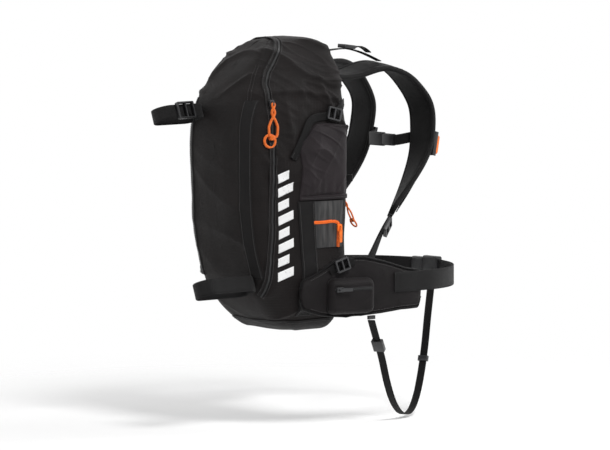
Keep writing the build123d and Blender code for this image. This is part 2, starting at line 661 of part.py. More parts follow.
POCKET_LONG = 96.0
POCKET_TALL = 68.0
POCKET_THICK = 18.0
POCKET_Z = -203.0
pocket_from = Vector(wing_points[1][0], wing_points[1][1])
pocket_to = Vector(wing_points[3][0], wing_points[3][1])
pocket_along = (pocket_to - pocket_from).normalized()
pocket_out = Vector(pocket_along.Y, -pocket_along.X, 0)
pocket_lift = pocket_out * (WING_FOAM / 2 + 3 * GAP)
pocket_middle = (pocket_from + pocket_to) * 0.5 + pocket_lift + Vector(0, 0, POCKET_Z)
pocket_plane = Plane(pocket_middle, x_dir=pocket_along, z_dir=pocket_out)
hip_pocket = Pos(0, 0, POCKET_THICK / 2) * Box(POCKET_LONG, POCKET_TALL, POCKET_THICK)
hip_pocket = fillet(hip_pocket.edges().filter_by(Axis.Z), 14.0)
hip_pocket = fillet(hip_pocket.faces().sort_by(Axis.Z)[-1].edges(), 8.0)
POCKET_ZIP = 76.0
POCKET_ZIP_Y = 14.0
hip_coil = Pos(0, POCKET_ZIP_Y, POCKET_THICK + COIL / 2) * Box(POCKET_ZIP, COIL_WIDTH, COIL)
hip_pocket += hip_coil
hip_pocket = pocket_plane.location * hip_pocket
save("hip_pockets", hip_pocket, left_of(hip_pocket))
hip_slider = Rot(0, 0, 90) * (zip_slider() + tab_puller(20.0))
hip_slider_place = Pos(-POCKET_ZIP / 2 + 8.0, POCKET_ZIP_Y, POCKET_THICK + COIL + GAP)
save("hip_pocket_slider", pocket_plane.location * hip_slider_place * hip_slider)

BELT_MIDDLE_Y = 158.0
HIP_BUCKLE_HALF = 35.0
belt_half = wing_points[-1][0] + WING_FOAM / 2 + 1.0 + WEBBING
belt_reach = BELT_FRONT - BELT_MIDDLE_Y
belt_points = []
for fraction in (0.74, 0.81, 0.88, 0.95):
    place = wing.outside(fraction, lift=1.0 + WEBBING / 2).position
    belt_points.append((place.X, place.Y, BELT_Z))
for angle in (2, 14, 28, 43, 58, 70):
    turn = radians(angle)
    belt_points.append((belt_half * cos(turn), BELT_MIDDLE_Y + belt_reach * sin(turn), BELT_Z))
belt_points.append((HIP_BUCKLE_HALF + GAP, BELT_FRONT - 1, BELT_Z))
belt = Ribbon(belt_points, (BELT_WEBBING, BELT_WEBBING), [(0, 0, 1), (0, 0, 1)], WEBBING)
belt_webbing = belt.solid(steps=20)
save("belt_webbing_right", belt_webbing)
save("belt_webbing_left", left_of(belt_webbing))

HIP_BUCKLE_TALL = 48.0
hip_female, hip_male = side_release(HIP_BUCKLE_HALF, HIP_BUCKLE_TALL, 14.0, 28.0)
hip_buckle_place = Pos(0, BELT_FRONT, BELT_Z)
save("hip_buckle_female", hip_buckle_place * left_of(hip_female))
save("hip_buckle_male", hip_buckle_place * left_of(hip_male))


# --- zip pullers on cord ---
def cord_pull(length, width, cord, tip):
    """Cord loop from an eye at the origin down -y, knotted into a moulded tip."""
    half = width / 2
    top = Pos(0, -half, 0)
    loop_end = -length + tip
    path = Polyline((-half, -half), (-half, loop_end)).edges()
    path += Polyline((half, -half), (half, loop_end)).edges()
    arc = ThreePointArc((-half, -half), (0, 0), (half, -half))
    loop = sweep(Plane.XZ.offset(half) * Pos(-half, 0) * Circle(cord / 2), path=path[0])
    loop += sweep(Plane.XZ.offset(half) * Pos(half, 0) * Circle(cord / 2), path=path[1])
    loop += sweep(Plane.XZ.offset(half) * Pos(-half, 0) * Circle(cord / 2), path=arc)
    knob = Pos(0, loop_end - tip / 2 + 3.0, 0) * Box(width + cord + 3.0, tip, 5.0)
    knob = fillet(knob.edges().filter_by(Axis.Z), 3.0)
    knob -= Pos(0, loop_end - tip / 2, 0) * Cylinder((width + cord) / 4, 2 * tip)
    return loop + knob


CORD = 2.4
FRONT_PULL = 84.0
FRONT_PULL_WIDTH = 9.0
BACK_PULL = 68.0
BACK_PULL_LEAN = 24.0
BACK_PULL_TURN = 12.0
front_slider_z = 158.0
front_slider_plane = on_side(-ZIP_DEPTH, front_slider_z, COIL + GAP)
save("front_zip_slider", front_slider_plane.location * zip_slider())
eye = front_slider_plane.location * Pos(0, 0, SLIDER_THICK + BAIL / 2)
across_hang = front_slider_plane.x_dir
hang = Plane(eye.position, x_dir=across_hang, z_dir=across_hang.cross(Vector(0, 0, 1)))
front_pull_place = hang.location * Rot(-2.0, 0, 0)
save("front_zip_pull", front_pull_place * cord_pull(FRONT_PULL, FRONT_PULL_WIDTH, CORD, 18.0))

back_slider_z = -24.0
back_zip_x = DOOR_HALF + SLOT / 2
back_slider_plane = Plane((back_zip_x, COIL + GAP, back_slider_z), x_dir=(-1, 0, 0), z_dir=(0, 1, 0))
save("back_zip_slider", back_slider_plane.location * zip_slider(-BACK_PULL_TURN))
back_eye = back_slider_plane.location * Pos(0, 0, SLIDER_THICK + BAIL / 2) * Rot(0, -BACK_PULL_TURN, 0)
back_pull_place = back_eye * Rot(-BACK_PULL_LEAN, 0, 0)
save("back_zip_pull", back_pull_place * cord_pull(BACK_PULL, FRONT_PULL_WIDTH, CORD, 14.0))

# --- side tabs ---
TAB = (14.0, 12.0, 5.0)
TAB_SEAT = 6.0          # how far its middle lies inside the bag's half width
tabs = []
for z in (15.0, -236.0):
    half = sizes((z - GIRTH_Z) / (GIRTH_Z - BASE_Z))[0]
    tab = Pos(half - TAB_SEAT, -6.0, z) * Rot(0, 0, 35) * Box(TAB[0], TAB[2], TAB[1])
    tab = tab - bag(GAP)
    tab = tab.solids().sort_by(SortBy.VOLUME)[-1]
    tabs += [tab, left_of(tab)]
save("side_tabs", *tabs)

# --- leg strap, hanging from the right wing to the belt's front ---
LEG_CORD = 5.0
leg_start = Vector(150, 35, 0)
leg_end = Vector(15, 315, 0)
leg_route = [
    (0.00, -252),
    (0.06, -280),
    (0.17, -325),
    (0.25, -375),
    (0.36, -420),
    (0.50, -446),
    (0.64, -447),
    (0.75, -420),
    (0.83, -375),
    (0.89, -325),
    (0.93, -275),
    (0.965, -240),
    (0.99, -214),
]
leg_points = []
for fraction, z in leg_route:
    at = leg_start + (leg_end - leg_start) * fraction
    leg_points.append(Vector(at.X, at.Y, z))


def bend_radii(points):
    """Largest arcs that leave a tenth of each run straight: 0.45 of the shorter run."""
    radii = []
    for before, at, after in zip(points, points[1:], points[2:]):
        turn = (at - before).get_angle(after - at)
        run = min((at - before).length, (after - at).length)
        radii.append(0.45 * run / abs(sin(radians(turn) / 2) / cos(radians(turn) / 2)))
    return radii


leg_radii = bend_radii(leg_points)
print("leg strap radii", [round(radius) for radius in leg_radii])
leg_path = FilletPolyline(*leg_points, radius=leg_radii)
leg_section = Plane(leg_path.position_at(0), z_dir=leg_path.tangent_at(0)) * Circle(LEG_CORD / 2)
leg_strap = sweep(leg_section, path=leg_path)
leg_ratio = leg_strap.volume / leg_path.length / leg_section.area
print("leg strap length", round(leg_path.length, 1), "volume ratio", leg_ratio)
save("leg_strap", leg_strap)


def leg_fitting(start, end, share_of_run, wide, thick, long):
    """Block round the leg strap on the run between two points of its route."""
    middle = start + (end - start) * share_of_run
    plane = Plane(middle, x_dir=(leg_end - leg_start).cross(Vector(0, 0, 1)), z_dir=end - start)
    block = Box(wide, thick, long)
    block = fillet(block.edges().filter_by(Axis.Z), 2.0)
    return plane.location * (block - Cylinder(LEG_CORD / 2 + GAP, 2 * long))


leg_lock = leg_fitting(leg_points[1], leg_points[2], 0.5, 22.0, 10.0, 24.0)
leg_keeper = leg_fitting(leg_points[8], leg_points[9], 0.5, 20.0, 8.0, 10.0)
anchor_top = -243.0
anchor_foot = leg_route[0][1] + 2.0
anchor_bar = Box(5.0, 16.0, anchor_top - anchor_foot)
leg_anchor = Pos(leg_start.X, leg_start.Y, (anchor_foot + anchor_top) / 2) * anchor_bar
hook_top = BELT_Z - HIP_BUCKLE_TALL / 2 - GAP
hook_foot = leg_route[-1][1] + 1.5
hook_bar = Box(16.0, 5.0, hook_top - hook_foot)
leg_hook = Pos(leg_points[-1].X, leg_points[-1].Y, (hook_foot + hook_top) / 2) * hook_bar
save("leg_strap_fittings", leg_lock, leg_keeper, leg_anchor, leg_hook)
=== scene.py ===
import json

import bmesh
import bpy
import numpy as np
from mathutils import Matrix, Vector


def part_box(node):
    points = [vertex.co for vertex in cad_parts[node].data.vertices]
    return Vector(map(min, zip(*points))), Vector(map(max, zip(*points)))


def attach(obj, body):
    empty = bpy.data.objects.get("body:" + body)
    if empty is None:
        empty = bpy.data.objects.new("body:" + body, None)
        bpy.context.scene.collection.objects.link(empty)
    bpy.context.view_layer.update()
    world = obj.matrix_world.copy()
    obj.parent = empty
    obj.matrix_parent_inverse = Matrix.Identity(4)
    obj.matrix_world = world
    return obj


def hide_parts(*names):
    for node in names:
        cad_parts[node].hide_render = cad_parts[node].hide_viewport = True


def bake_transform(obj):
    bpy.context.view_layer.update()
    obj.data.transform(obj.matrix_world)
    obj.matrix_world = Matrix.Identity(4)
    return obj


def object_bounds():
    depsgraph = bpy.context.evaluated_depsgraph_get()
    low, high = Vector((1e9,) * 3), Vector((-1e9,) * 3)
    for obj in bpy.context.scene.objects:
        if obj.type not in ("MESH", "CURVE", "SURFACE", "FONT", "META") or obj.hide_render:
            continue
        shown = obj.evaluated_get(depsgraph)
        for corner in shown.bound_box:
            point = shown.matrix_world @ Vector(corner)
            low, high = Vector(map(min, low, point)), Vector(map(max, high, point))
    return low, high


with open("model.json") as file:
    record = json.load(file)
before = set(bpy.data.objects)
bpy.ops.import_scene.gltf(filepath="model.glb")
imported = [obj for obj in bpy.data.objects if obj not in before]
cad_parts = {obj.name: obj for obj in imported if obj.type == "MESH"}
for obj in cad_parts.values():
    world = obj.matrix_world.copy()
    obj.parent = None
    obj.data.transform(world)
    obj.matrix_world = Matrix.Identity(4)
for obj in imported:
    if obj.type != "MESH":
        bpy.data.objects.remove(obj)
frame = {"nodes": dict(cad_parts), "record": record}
cad_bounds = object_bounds()


# --- Airbag gear inside the bag ---
# The folded airbag, its electric fan, the capacitors and the gas cartridges ride on the back
# panel's frame. They are moulded nylon, turned steel, alloy and thin coated cloth.
class Wire:
    """A number or a colour on its way through a finish. Arithmetic on it adds Math nodes."""

    def __init__(self, finish, socket):
        self.finish, self.socket = finish, socket

    def maths(self, operation, *values):
        return self.finish.node("ShaderNodeMath", {"operation": operation}, values)

    def __add__(self, other):
        return self.maths("ADD", self, other)

    def __sub__(self, other):
        return self.maths("SUBTRACT", self, other)

    def __rsub__(self, other):
        return self.maths("SUBTRACT", other, self)

    def __mul__(self, other):
        return self.maths("MULTIPLY", self, other)

    def __pow__(self, other):
        return self.maths("POWER", self, other)

    def __abs__(self):
        return self.maths("ABSOLUTE", self)

    def sine(self):
        return self.maths("SINE", self)

    def rise(self, low, high):
        """0 up to low, 1 from high on, and smooth between."""
        settings = {"interpolation_type": "SMOOTHSTEP"}
        return self.finish.node("ShaderNodeMapRange", settings, (self, low, high, 0.0, 1.0))

    __radd__ = __add__
    __rmul__ = __mul__


class Finish:
    """One material: a Principled shader and the nodes that feed it. `slot` is the record's name
    for what it is made of."""

    def __init__(self, name, slot=None, **constants):
        self.slot = slot
        self.material = bpy.data.materials.new(name)
        self.material.use_nodes = True
        self.tree = self.material.node_tree
        self.shader = self.tree.nodes["Principled BSDF"]
        for socket, value in constants.items():
            self.shader.inputs[socket.replace("_", " ")].default_value = value

    def node(self, kind, settings=None, values=(), output=0):
        """Adds a node: its settings first, then the values or wires of its sockets."""
        made = self.tree.nodes.new(kind)
        for name, value in (settings or {}).items():
            setattr(made, name, value)
        pairs = values.items() if isinstance(values, dict) else enumerate(values)
        for socket, value in pairs:
            if isinstance(value, Wire):
                self.tree.links.new(value.socket, made.inputs[socket])
            else:
                made.inputs[socket].default_value = value
        return Wire(self, made.outputs[output])

    def place(self, source="Object"):
        return self.node("ShaderNodeTexCoord", output=source)

    def apart(self, vector):
        """The three numbers of a vector."""
        first = self.node("ShaderNodeSeparateXYZ", values=(vector,))
        return [Wire(self, socket) for socket in first.socket.node.outputs]

    def noise(self, size, detail=2.0, at=None):
        """Cloudy noise from 0 to 1, its clouds about `size` metres across."""
        values = {"Vector": at or self.place(), "Scale": 1 / size, "Detail": detail}
        return self.node("ShaderNodeTexNoise", {}, values)

    def mix(self, share, low, high):
        """A colour between two others. Counted from 0, the node's colour inputs are 6 and 7, and its
        colour output is 2."""
        colours = [c if isinstance(c, Wire) else (*c, 1.0) for c in (low, high)]
        values = {0: share, 6: colours[0], 7: colours[1]}
        return self.node("ShaderNodeMix", {"data_type": "RGBA"}, values, output=2)

    def feed(self, **wires):
        for socket, wire in wires.items():
            self.tree.links.new(wire.socket, self.shader.inputs[socket.replace("_", " ")])
        return self

    def emboss(self, height, depth):
        """Raises the surface by `depth` metres where height is 1."""
        values = {"Height": height, "Distance": depth, "Strength": 1.0}
        return self.feed(Normal=self.node("ShaderNodeBump", {}, values))


def tint(colour, factor):
    return tuple(channel * factor for channel in colour)


def moulded(name, slot, colour, roughness=0.42):
    """Moulded plastic with a fine eroded grain, dusty in patches."""
    finish = Finish(name, slot, Specular_IOR_Level=0.45)
    patches = finish.noise(0.018, 4.0)
    grain = finish.noise(0.0007, 3.0)
    finish.feed(
        Base_Color=finish.mix(patches.rise(0.3, 0.75), tint(colour, 0.8), tint(colour, 1.25)),
        Roughness=patches * 0.22 + (roughness - 0.11),
    )
    return finish.emboss(grain, 0.00008)


def metal(name, colour, roughness, grain_size):
    """Turned or brushed metal: its marks run along X."""
    finish = Finish(name, Metallic=1.0)
    stretch = finish.node("ShaderNodeMapping", {}, {"Vector": finish.place(), "Scale": (0.05, 1.0, 1.0)})
    marks = finish.noise(grain_size, 3.0, at=stretch)
    finish.feed(
        Base_Color=finish.mix(marks, tint(colour, 0.85), colour),
        Roughness=marks * 0.2 + (roughness - 0.1),
    )
    return finish.emboss(marks, 0.00004)


def coated_cloth(name, slot, colour):
    """Thin coated cloth, creased where it is folded and packed."""
    finish = Finish(name, slot, Roughness=0.5, Sheen_Weight=0.2)
    creases = finish.noise(0.012, 6.0)
    finish.feed(Base_Color=finish.mix(creases, tint(colour, 0.7), tint(colour, 1.15)))
    return finish.emboss(abs(creases - 0.5), 0.004)


BLACK_PLASTIC = (0.012, 0.012, 0.013)
black_plastic = moulded("black_acetal", "black_plastic", BLACK_PLASTIC)
inner_finishes = {
    black_plastic: ["inflator_housing", "intake_grille", "power_tray"],
    moulded("fan_nylon", "grey_plastic", (0.25, 0.26, 0.27)): ["fan_rotor"],
    moulded("capacitor_sleeve", "capacitor_sleeve", (0.02, 0.04, 0.12), 0.3): ["capacitors"],
    moulded("frame_sheet_white", "hdpe", (0.7, 0.7, 0.68), 0.4): ["frame_sheet"],
    metal("motor_steel", (0.55, 0.55, 0.56), 0.35, 0.001): ["fan_motor", "gas_cartridges"],
    metal("stay_alloy", (0.75, 0.75, 0.77), 0.4, 0.002): ["frame_stays"],
    coated_cloth("airbag_cloth", "airbag_fabric", (0.85, 0.25, 0.03)): ["airbag_roll"],
}


def dress(finish, *nodes):
    """Gives CAD nodes their finish."""
    for name in nodes:
        materials = frame["nodes"][name].data.materials
        materials.clear()
        materials.append(finish.material)


for finish, nodes in inner_finishes.items():
    dress(finish, *nodes)

# --- Bag: main and front shells ---
# Two shells of ripstop nylon meet at the front zip, which runs from the foot of the right side
# over the crown to the foot of the left. The cloth lies over a foam liner, and puckers at seams.
GIRTH_Z, CROWN_Z, BASE_Z = 0.040, 0.2755, -0.272
HALF_WIDTH, FRONT_HALF = 0.139, 0.090
DEPTH, CROWN_DEPTH, BASE_DEPTH = 0.214, 0.090, 0.040
BACK_RADIUS, FRONT_RADIUS = 0.025, 0.043
WALL_SHARES = (0.0, 0.22, 0.34, 0.60, 0.78, 1.0)
RIDGE = 1 - 1e-6
back_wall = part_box("back_panel")[1].y


def smooth(value, low, high):
    """0 below low, 1 above high, and an S between."""
    share = np.clip((value - low) / (high - low), 0, 1)
    return share * share * (3 - 2 * share)


def left_over(share, power):
    """What a superellipse leaves of its full size at this share of its height."""
    return (1 - np.abs(share) ** power) ** (1 / power)


def level(f):
    """Half width, depth of the outer face and depth of the back wall at height f, which runs from
    the base (-1) past the widest level (0) to the crown (1). The cloth sags at the top of the
    front, where the power of its superellipse falls. Its halves meet in a ridge at both ends."""
    f = np.clip(f, -RIDGE, RIDGE)
    width = HALF_WIDTH * np.where(f > 0, left_over(f, 2.7), left_over(f, 4.0))
    width = np.where(np.abs(f) >= RIDGE, 1e-7, width)
    crown = CROWN_DEPTH + (DEPTH - CROWN_DEPTH) * left_over(f, 3.0 - 1.2 * smooth(f, 0.20, 0.98))
    base = BASE_DEPTH + (DEPTH - BASE_DEPTH) * left_over(f, 2.5)
    back = np.where(f > 0, CROWN_DEPTH * (1 - left_over(f, 8.0)), 0.0)
    return width, np.where(f > 0, crown, base), back


def height(f):
    return GIRTH_Z + f * np.where(f > 0, CROWN_Z - GIRTH_Z, GIRTH_Z - BASE_Z)


def height_share(z):
    return (z - GIRTH_Z) / np.where(z > GIRTH_Z, CROWN_Z - GIRTH_Z, GIRTH_Z - BASE_Z)


def corner_arcs(f):
    """Arcs that round a level's corners: depth of its faces, lean of its side, radii, centres."""
    width, front, back = level(f)
    narrow = width * FRONT_HALF / HALF_WIDTH * (1 - 0.16 * smooth(f, 0.3, 0.95))
    lean = np.arctan((width - narrow) / (front - back))
    back_radius = BACK_RADIUS * width / HALF_WIDTH
    front_radius = FRONT_RADIUS * width / HALF_WIDTH
    back_x = width - back_radius * np.tan((np.pi / 2 + lean) / 2)
    front_x = narrow - front_radius * np.tan((np.pi / 2 - lean) / 2)
    return front, back, lean, back_radius, front_radius, back_x, front_x


def plain_wall(t, f):
    """Point of the bag's right half. t runs round a level, a trapezoid with rounded corners, from
    the middle of the back (0) over the side to the middle of the front (1)."""
    front, back, lean, back_radius, front_radius, back_x, front_x = corner_arcs(f)
    stretches = zip(WALL_SHARES, WALL_SHARES[1:])
    on_back, back_turn, on_side, front_turn, on_front = [
        np.clip((t - start) / (end - start), 0, 1) for start, end in stretches
    ]
    back_angle = np.pi / 2 - back_turn * (np.pi / 2 + lean)
    front_angle = -lean - front_turn * (np.pi / 2 - lean)
    corner_x = back_x * on_back + back_radius * np.cos(back_angle)
    corner_depth = back + back_radius * (1 - np.sin(back_angle))
    far_x = front_x * (1 - on_front) + front_radius * np.cos(front_angle)
    far_depth = front - front_radius * (1 + np.sin(front_angle))
    x = corner_x + (far_x - corner_x) * on_side
    depth = corner_depth + (far_depth - corner_depth) * on_side
    return np.stack(np.broadcast_arrays(x, -depth, height(f)), -1)


def side_t(depth, f):
    """Where round its level the side wall has this depth."""
    front, back, lean, back_radius, front_radius, _, _ = corner_arcs(f)
    back_end = back + back_radius * (1 + np.sin(lean))
    front_start = front - front_radius * (1 - np.sin(lean))
    along = (depth - back_end) / (front_start - back_end)
    back_angle = np.arcsin(np.clip(1 - (depth - back) / back_radius, -1, 1))
    front_angle = np.arcsin(np.clip((front - depth) / front_radius - 1, -1, 1))
    back_turn = (np.pi / 2 - back_angle) / (np.pi / 2 + lean)
    front_turn = (-lean - front_angle) / (np.pi / 2 - lean)
    starts = np.array(WALL_SHARES[:-1])
    spans = np.diff(WALL_SHARES)
    on_corner = starts[1] + spans[1] * back_turn
    on_side = starts[2] + spans[2] * along
    on_front = starts[3] + spans[3] * front_turn
    return np.where(along < 0, on_corner, np.where(along > 1, on_front, on_side))


def front_t(x, f):
    """Where round its level the front face has this distance from the middle."""
    _, _, lean, _, front_radius, _, front_x = corner_arcs(f)
    angle = -np.arccos(np.clip((x - front_x) / front_radius, 0, 1))
    round_corner = WALL_SHARES[3] + (WALL_SHARES[4] - WALL_SHARES[3]) * (-lean - angle) / (np.pi / 2 - lean)
    flat = 1 - (1 - WALL_SHARES[4]) * x / front_x
    return np.where(x > front_x, round_corner, flat)


def bell(value, middle, half):
    """1 at the middle, falling to nearly nothing two halves away."""
    return np.exp(-(((value - middle) / half) ** 2))


def ripples(a, b, size, seed):
    """Smooth uneven waves about `size` long: sines in six directions, added."""
    total = 0.0
    for wave in range(6):
        turn = seed + wave * 2.4
        pace = 2 * np.pi / size * (0.7 + 0.13 * wave)
        total = total + np.sin(pace * (a * np.cos(turn) + b * np.sin(turn)) + seed * wave * 1.7)
    return total / 6


def creases(a, b, size, seed):
    """Sharp folds from 0 to 1 with broad flats between: they lie where the waves cross zero."""
    return np.clip(1 - 3.2 * np.abs(ripples(a, b, size, seed)), 0, 1) ** 2


ZIP_DEPTH, ZIP_FOOT_Z = 0.166, -0.200
ZIP_BEND_Z, ZIP_BEND_RADIUS, ZIP_LEAN = 0.200, 0.060, np.radians(47)
bend_foot_z = ZIP_BEND_Z - ZIP_BEND_RADIUS * np.tan(ZIP_LEAN / 2)
bend_top_z = bend_foot_z + ZIP_BEND_RADIUS * np.sin(ZIP_LEAN)
bend_top_depth = ZIP_DEPTH - ZIP_BEND_RADIUS * (1 - np.cos(ZIP_LEAN))


def zip_depth(z):
    """Depth of the front zip: straight up the side, round an arc, then leaning to the crown."""
    inside = np.clip(z - bend_foot_z, 0, ZIP_BEND_RADIUS)
    arc = ZIP_DEPTH - ZIP_BEND_RADIUS + np.sqrt(ZIP_BEND_RADIUS**2 - inside**2)
    upper = bend_top_depth - (z - bend_top_z) * np.tan(ZIP_LEAN)
    return np.where(z < bend_foot_z, ZIP_DEPTH, np.where(z < bend_top_z, arc, upper))


CORNER_SEAM = 0.7025          # where round a level the front corner's seam is
STRAP_LINE = np.array([(0.009, 0.151), (0.033, 0.137), (0.086, 0.125), (0.127, 0.057)])
DOOR_HALF, DOOR_FOOT, DOOR_TOP = 0.098, -0.228, 0.172
DOOR_FOOT_RADIUS, DOOR_TOP_RADIUS = 0.075, 0.070


def off_line(depth, z, line):
    """Distance to a line of points on the side."""
    nearest = np.full(np.shape(depth), np.inf)
    for (d0, z0), (d1, z1) in zip(line, line[1:]):
        long = (d1 - d0) ** 2 + (z1 - z0) ** 2
        along = np.clip(((depth - d0) * (d1 - d0) + (z - z0) * (z1 - z0)) / long, 0, 1)
        gap = np.hypot(depth - d0 - along * (d1 - d0), z - z0 - along * (z1 - z0))
        nearest = np.minimum(nearest, gap)
    return nearest


def off_door(x, z):
    """Distance outside the back door's rounded outline, less than 0 inside it."""
    middle = (DOOR_FOOT + DOOR_TOP) / 2
    radius = np.where(z > middle, DOOR_TOP_RADIUS, DOOR_FOOT_RADIUS)
    over_x = np.abs(x) - DOOR_HALF + radius
    over_z = np.abs(z - middle) - (DOOR_TOP - DOOR_FOOT) / 2 + radius
    corner = np.hypot(np.maximum(over_x, 0), np.maximum(over_z, 0))
    return corner + np.minimum(np.maximum(over_x, over_z), 0) - radius


def relief(point, t, side):
    """How far the cloth stands off the plain wall: full panels, the zip's groove and its puckers,
    the pull of the straps, folds where the panels are slack, and the recess of the back door.
    Puckers and folds are sums of sines, and fade out towards the ridges at crown and base."""
    x, depth, z = point[..., 0], -point[..., 1], point[..., 2]
    seed = 1.0 if side > 0 else 2.3
    tall = bell(z, 0.02, 0.21)
    full = 0.007 * smooth(t, 0.66, 0.92) * tall
    full = full + 0.0035 * bell(depth, 0.10, 0.05) * smooth(t, 0.3, 0.42) * (1 - smooth(t, 0.56, 0.64))
    beside_zip = np.abs(depth - zip_depth(z)) * np.where(z > bend_foot_z, 0.73, 1.0)
    zipped = smooth(z, ZIP_FOOT_Z - 0.012, ZIP_FOOT_Z)
    groove = -0.0010 * np.exp(-((beside_zip / 0.008) ** 2)) * zipped
    groove = groove - 0.004 * np.exp(-((beside_zip / 0.03) ** 2)) * smooth(z, 0.22, 0.275)
    pucker = ripples(z, depth * 0.35, 0.026, seed) * 0.0022 * np.exp(-beside_zip / 0.020) * zipped
    strap = off_line(depth, z, STRAP_LINE)
    on_side = smooth(t, 0.20, 0.30)
    pulled = -0.0035 * np.exp(-((strap / 0.012) ** 2)) * on_side
    folds = creases(depth - 0.6 * z, z * 0.4 + depth * 0.2, 0.115, seed) * bell(strap, 0.03, 0.035)
    calm = 1 - smooth(np.abs(height_share(z)), 0.95, 0.9995)
    slack = creases(z + 0.35 * depth, depth * 0.35, 0.13, seed + 1.1) * smooth(-z, 0.08, 0.16)
    crown = creases(z - 0.15 * depth, depth * 0.3, 0.085, seed + 0.4) * smooth(z, 0.13, 0.19)
    soft = ripples(depth, z, 0.15, seed + 0.7) * 0.0032 + ripples(x + depth, z, 0.07, seed) * 0.0008
    small = creases(z - 0.5 * depth, depth * 0.5, 0.042, seed + 2.2)
    small = small * (bell(strap, 0.035, 0.03) + smooth(z, 0.12, 0.2))
    cloth = (0.0062 * folds + 0.0060 * slack + 0.0066 * crown + 0.0020 * small) * on_side
    cloth = cloth + soft * smooth(t, 0.1, 0.3)
    front = smooth(t, 0.64, 0.80)
    across = x * side
    face = 0.0036 * creases(z + 0.35 * across, across * 0.5 + depth, 0.17, 4.1) * bell(z, -0.02, 0.2)
    face = face + 0.0050 * creases(z - 0.3 * across, across * 0.45, 0.085, 5.2) * smooth(z, 0.14, 0.21)
    face = face + 0.0030 * ripples(across, z, 0.14, 2.9)
    cloth = cloth * (1 - front) + face * front
    seam = -0.0008 * bell(t, CORNER_SEAM, 0.018)
    on_back = (1 - smooth(t, 0.30, 0.33)) * smooth(-off_door(x, z), -0.005, 0.001)
    recess = -0.0045 * np.where(depth < 0.012, on_back, 0.0)
    return full + groove + pulled + (pucker + cloth) * calm + seam * smooth(z, -0.15, -0.11) + recess


def wall(t, f, lift=0.0, side=1, facing=False):
    """Points `lift` metres outside the cloth, on the right (side 1) or the left (side -1), and the
    directions that they face if asked. A point is moved out along the cross product of the
    wall's two directions, and at the ridges only within the middle plane."""
    t, f = np.broadcast_arrays(np.asarray(t, float), np.asarray(f, float))
    step = 1e-4
    near = np.clip(f, -1 + step, 1 - step)
    round_it = plain_wall(np.clip(t + step, 0, 1), near) - plain_wall(np.clip(t - step, 0, 1), near)
    up = plain_wall(t, near + step / 2) - plain_wall(t, near - step / 2)
    out = np.cross(up, round_it)
    out = out * np.where((np.abs(f) >= RIDGE)[..., None], (0, 1, 1), (1, 1, 1))
    out = out / np.maximum(np.linalg.norm(out, axis=-1, keepdims=True), 1e-12)
    plain = plain_wall(t, f)
    point = plain + out * (relief(plain, t, side) + lift)[..., None]
    point = point * (side, 1, 1) + (0, back_wall, 0)
    return (point, out * (side, 1, 1)) if facing else point


def grid(points, uv=None, ring=False, turned=False, keep=None):
    """Faces between neighbours in rows and columns of points. A ring's last column joins its
    first. `turned` faces look the other way, and `keep` says which faces are made."""
    rows, columns = points.shape[:2]
    index = np.arange(rows * columns).reshape(rows, columns)
    if ring:
        index = np.c_[index, index[:, :1]]
    if uv is None:
        across = np.linspace(0, 1, index.shape[1])
        uv = np.stack(np.broadcast_arrays(across, np.linspace(0, 1, rows)[:, None]), -1)
    steps = [(0, 0), (0, 1), (1, 1), (1, 0)]
    if turned:
        steps = steps[::-1]
    tall, wide = index.shape[0] - 1, index.shape[1] - 1
    quads = np.stack([index[a : a + tall, b : b + wide] for a, b in steps], -1).reshape(-1, 4)
    marks = np.stack([uv[a : a + tall, b : b + wide] for a, b in steps], 2).reshape(-1, 4, 2)
    if keep is not None:
        quads, marks = quads[keep.ravel()], marks[keep.ravel()]
    return points.reshape(-1, 3), quads, marks


WELD = 2e-6


def placed(name, data):
    """A new object in the scene that shows this data."""
    thing = bpy.data.objects.new(name, data)
    bpy.context.scene.collection.objects.link(thing)
    return thing


def cleaned(mesh, weld, thin, closed):
    """Welds points that are nearly in one place, drops faces thinner than `thin`, and turns the
    faces of a closed surface outwards."""
    made = bmesh.new()
    made.from_mesh(mesh)
    bmesh.ops.remove_doubles(made, verts=made.verts, dist=weld)
    bmesh.ops.dissolve_degenerate(made, edges=made.edges, dist=thin)
    if closed:
        bmesh.ops.recalc_face_normals(made, faces=made.faces)
    made.to_mesh(mesh)
    made.free()


def made_piece(name, parts, finish, body="pack", replaces=(), sharp=None, closed=False):
    """One piece out of several grids, welded where they meet, riding on its CAD body. The faces
    of a closed piece are turned outwards."""
    points = np.concatenate([part[0] for part in parts])
    starts = np.cumsum([0] + [len(part[0]) for part in parts[:-1]])
    quads = np.concatenate([part[1] + start for part, start in zip(parts, starts)])
    marks = np.concatenate([part[2] for part in parts])
    mesh = bpy.data.meshes.new(name)
    mesh.from_pydata(points.tolist(), [], quads.tolist())
    mesh.uv_layers.new(name="cloth").data.foreach_set("uv", marks.astype(np.float32).ravel())
    cleaned(mesh, WELD, WELD / 2, closed)
    mesh.shade_smooth()
    if sharp is not None:
        mesh.set_sharp_from_angle(angle=np.radians(sharp))
    mesh.materials.append(finish.material)
    piece = placed(name, mesh)
    if body:
        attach(piece, body)
    if replaces:
        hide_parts(*replaces)
    return piece


def solidified(piece, thickness, offset=-1.0):
    """Gives a sheet its thickness, inwards by default."""
    wall_of = piece.modifiers.new("thickness", "SOLIDIFY")
    wall_of.thickness = thickness
    wall_of.offset = offset
    return piece


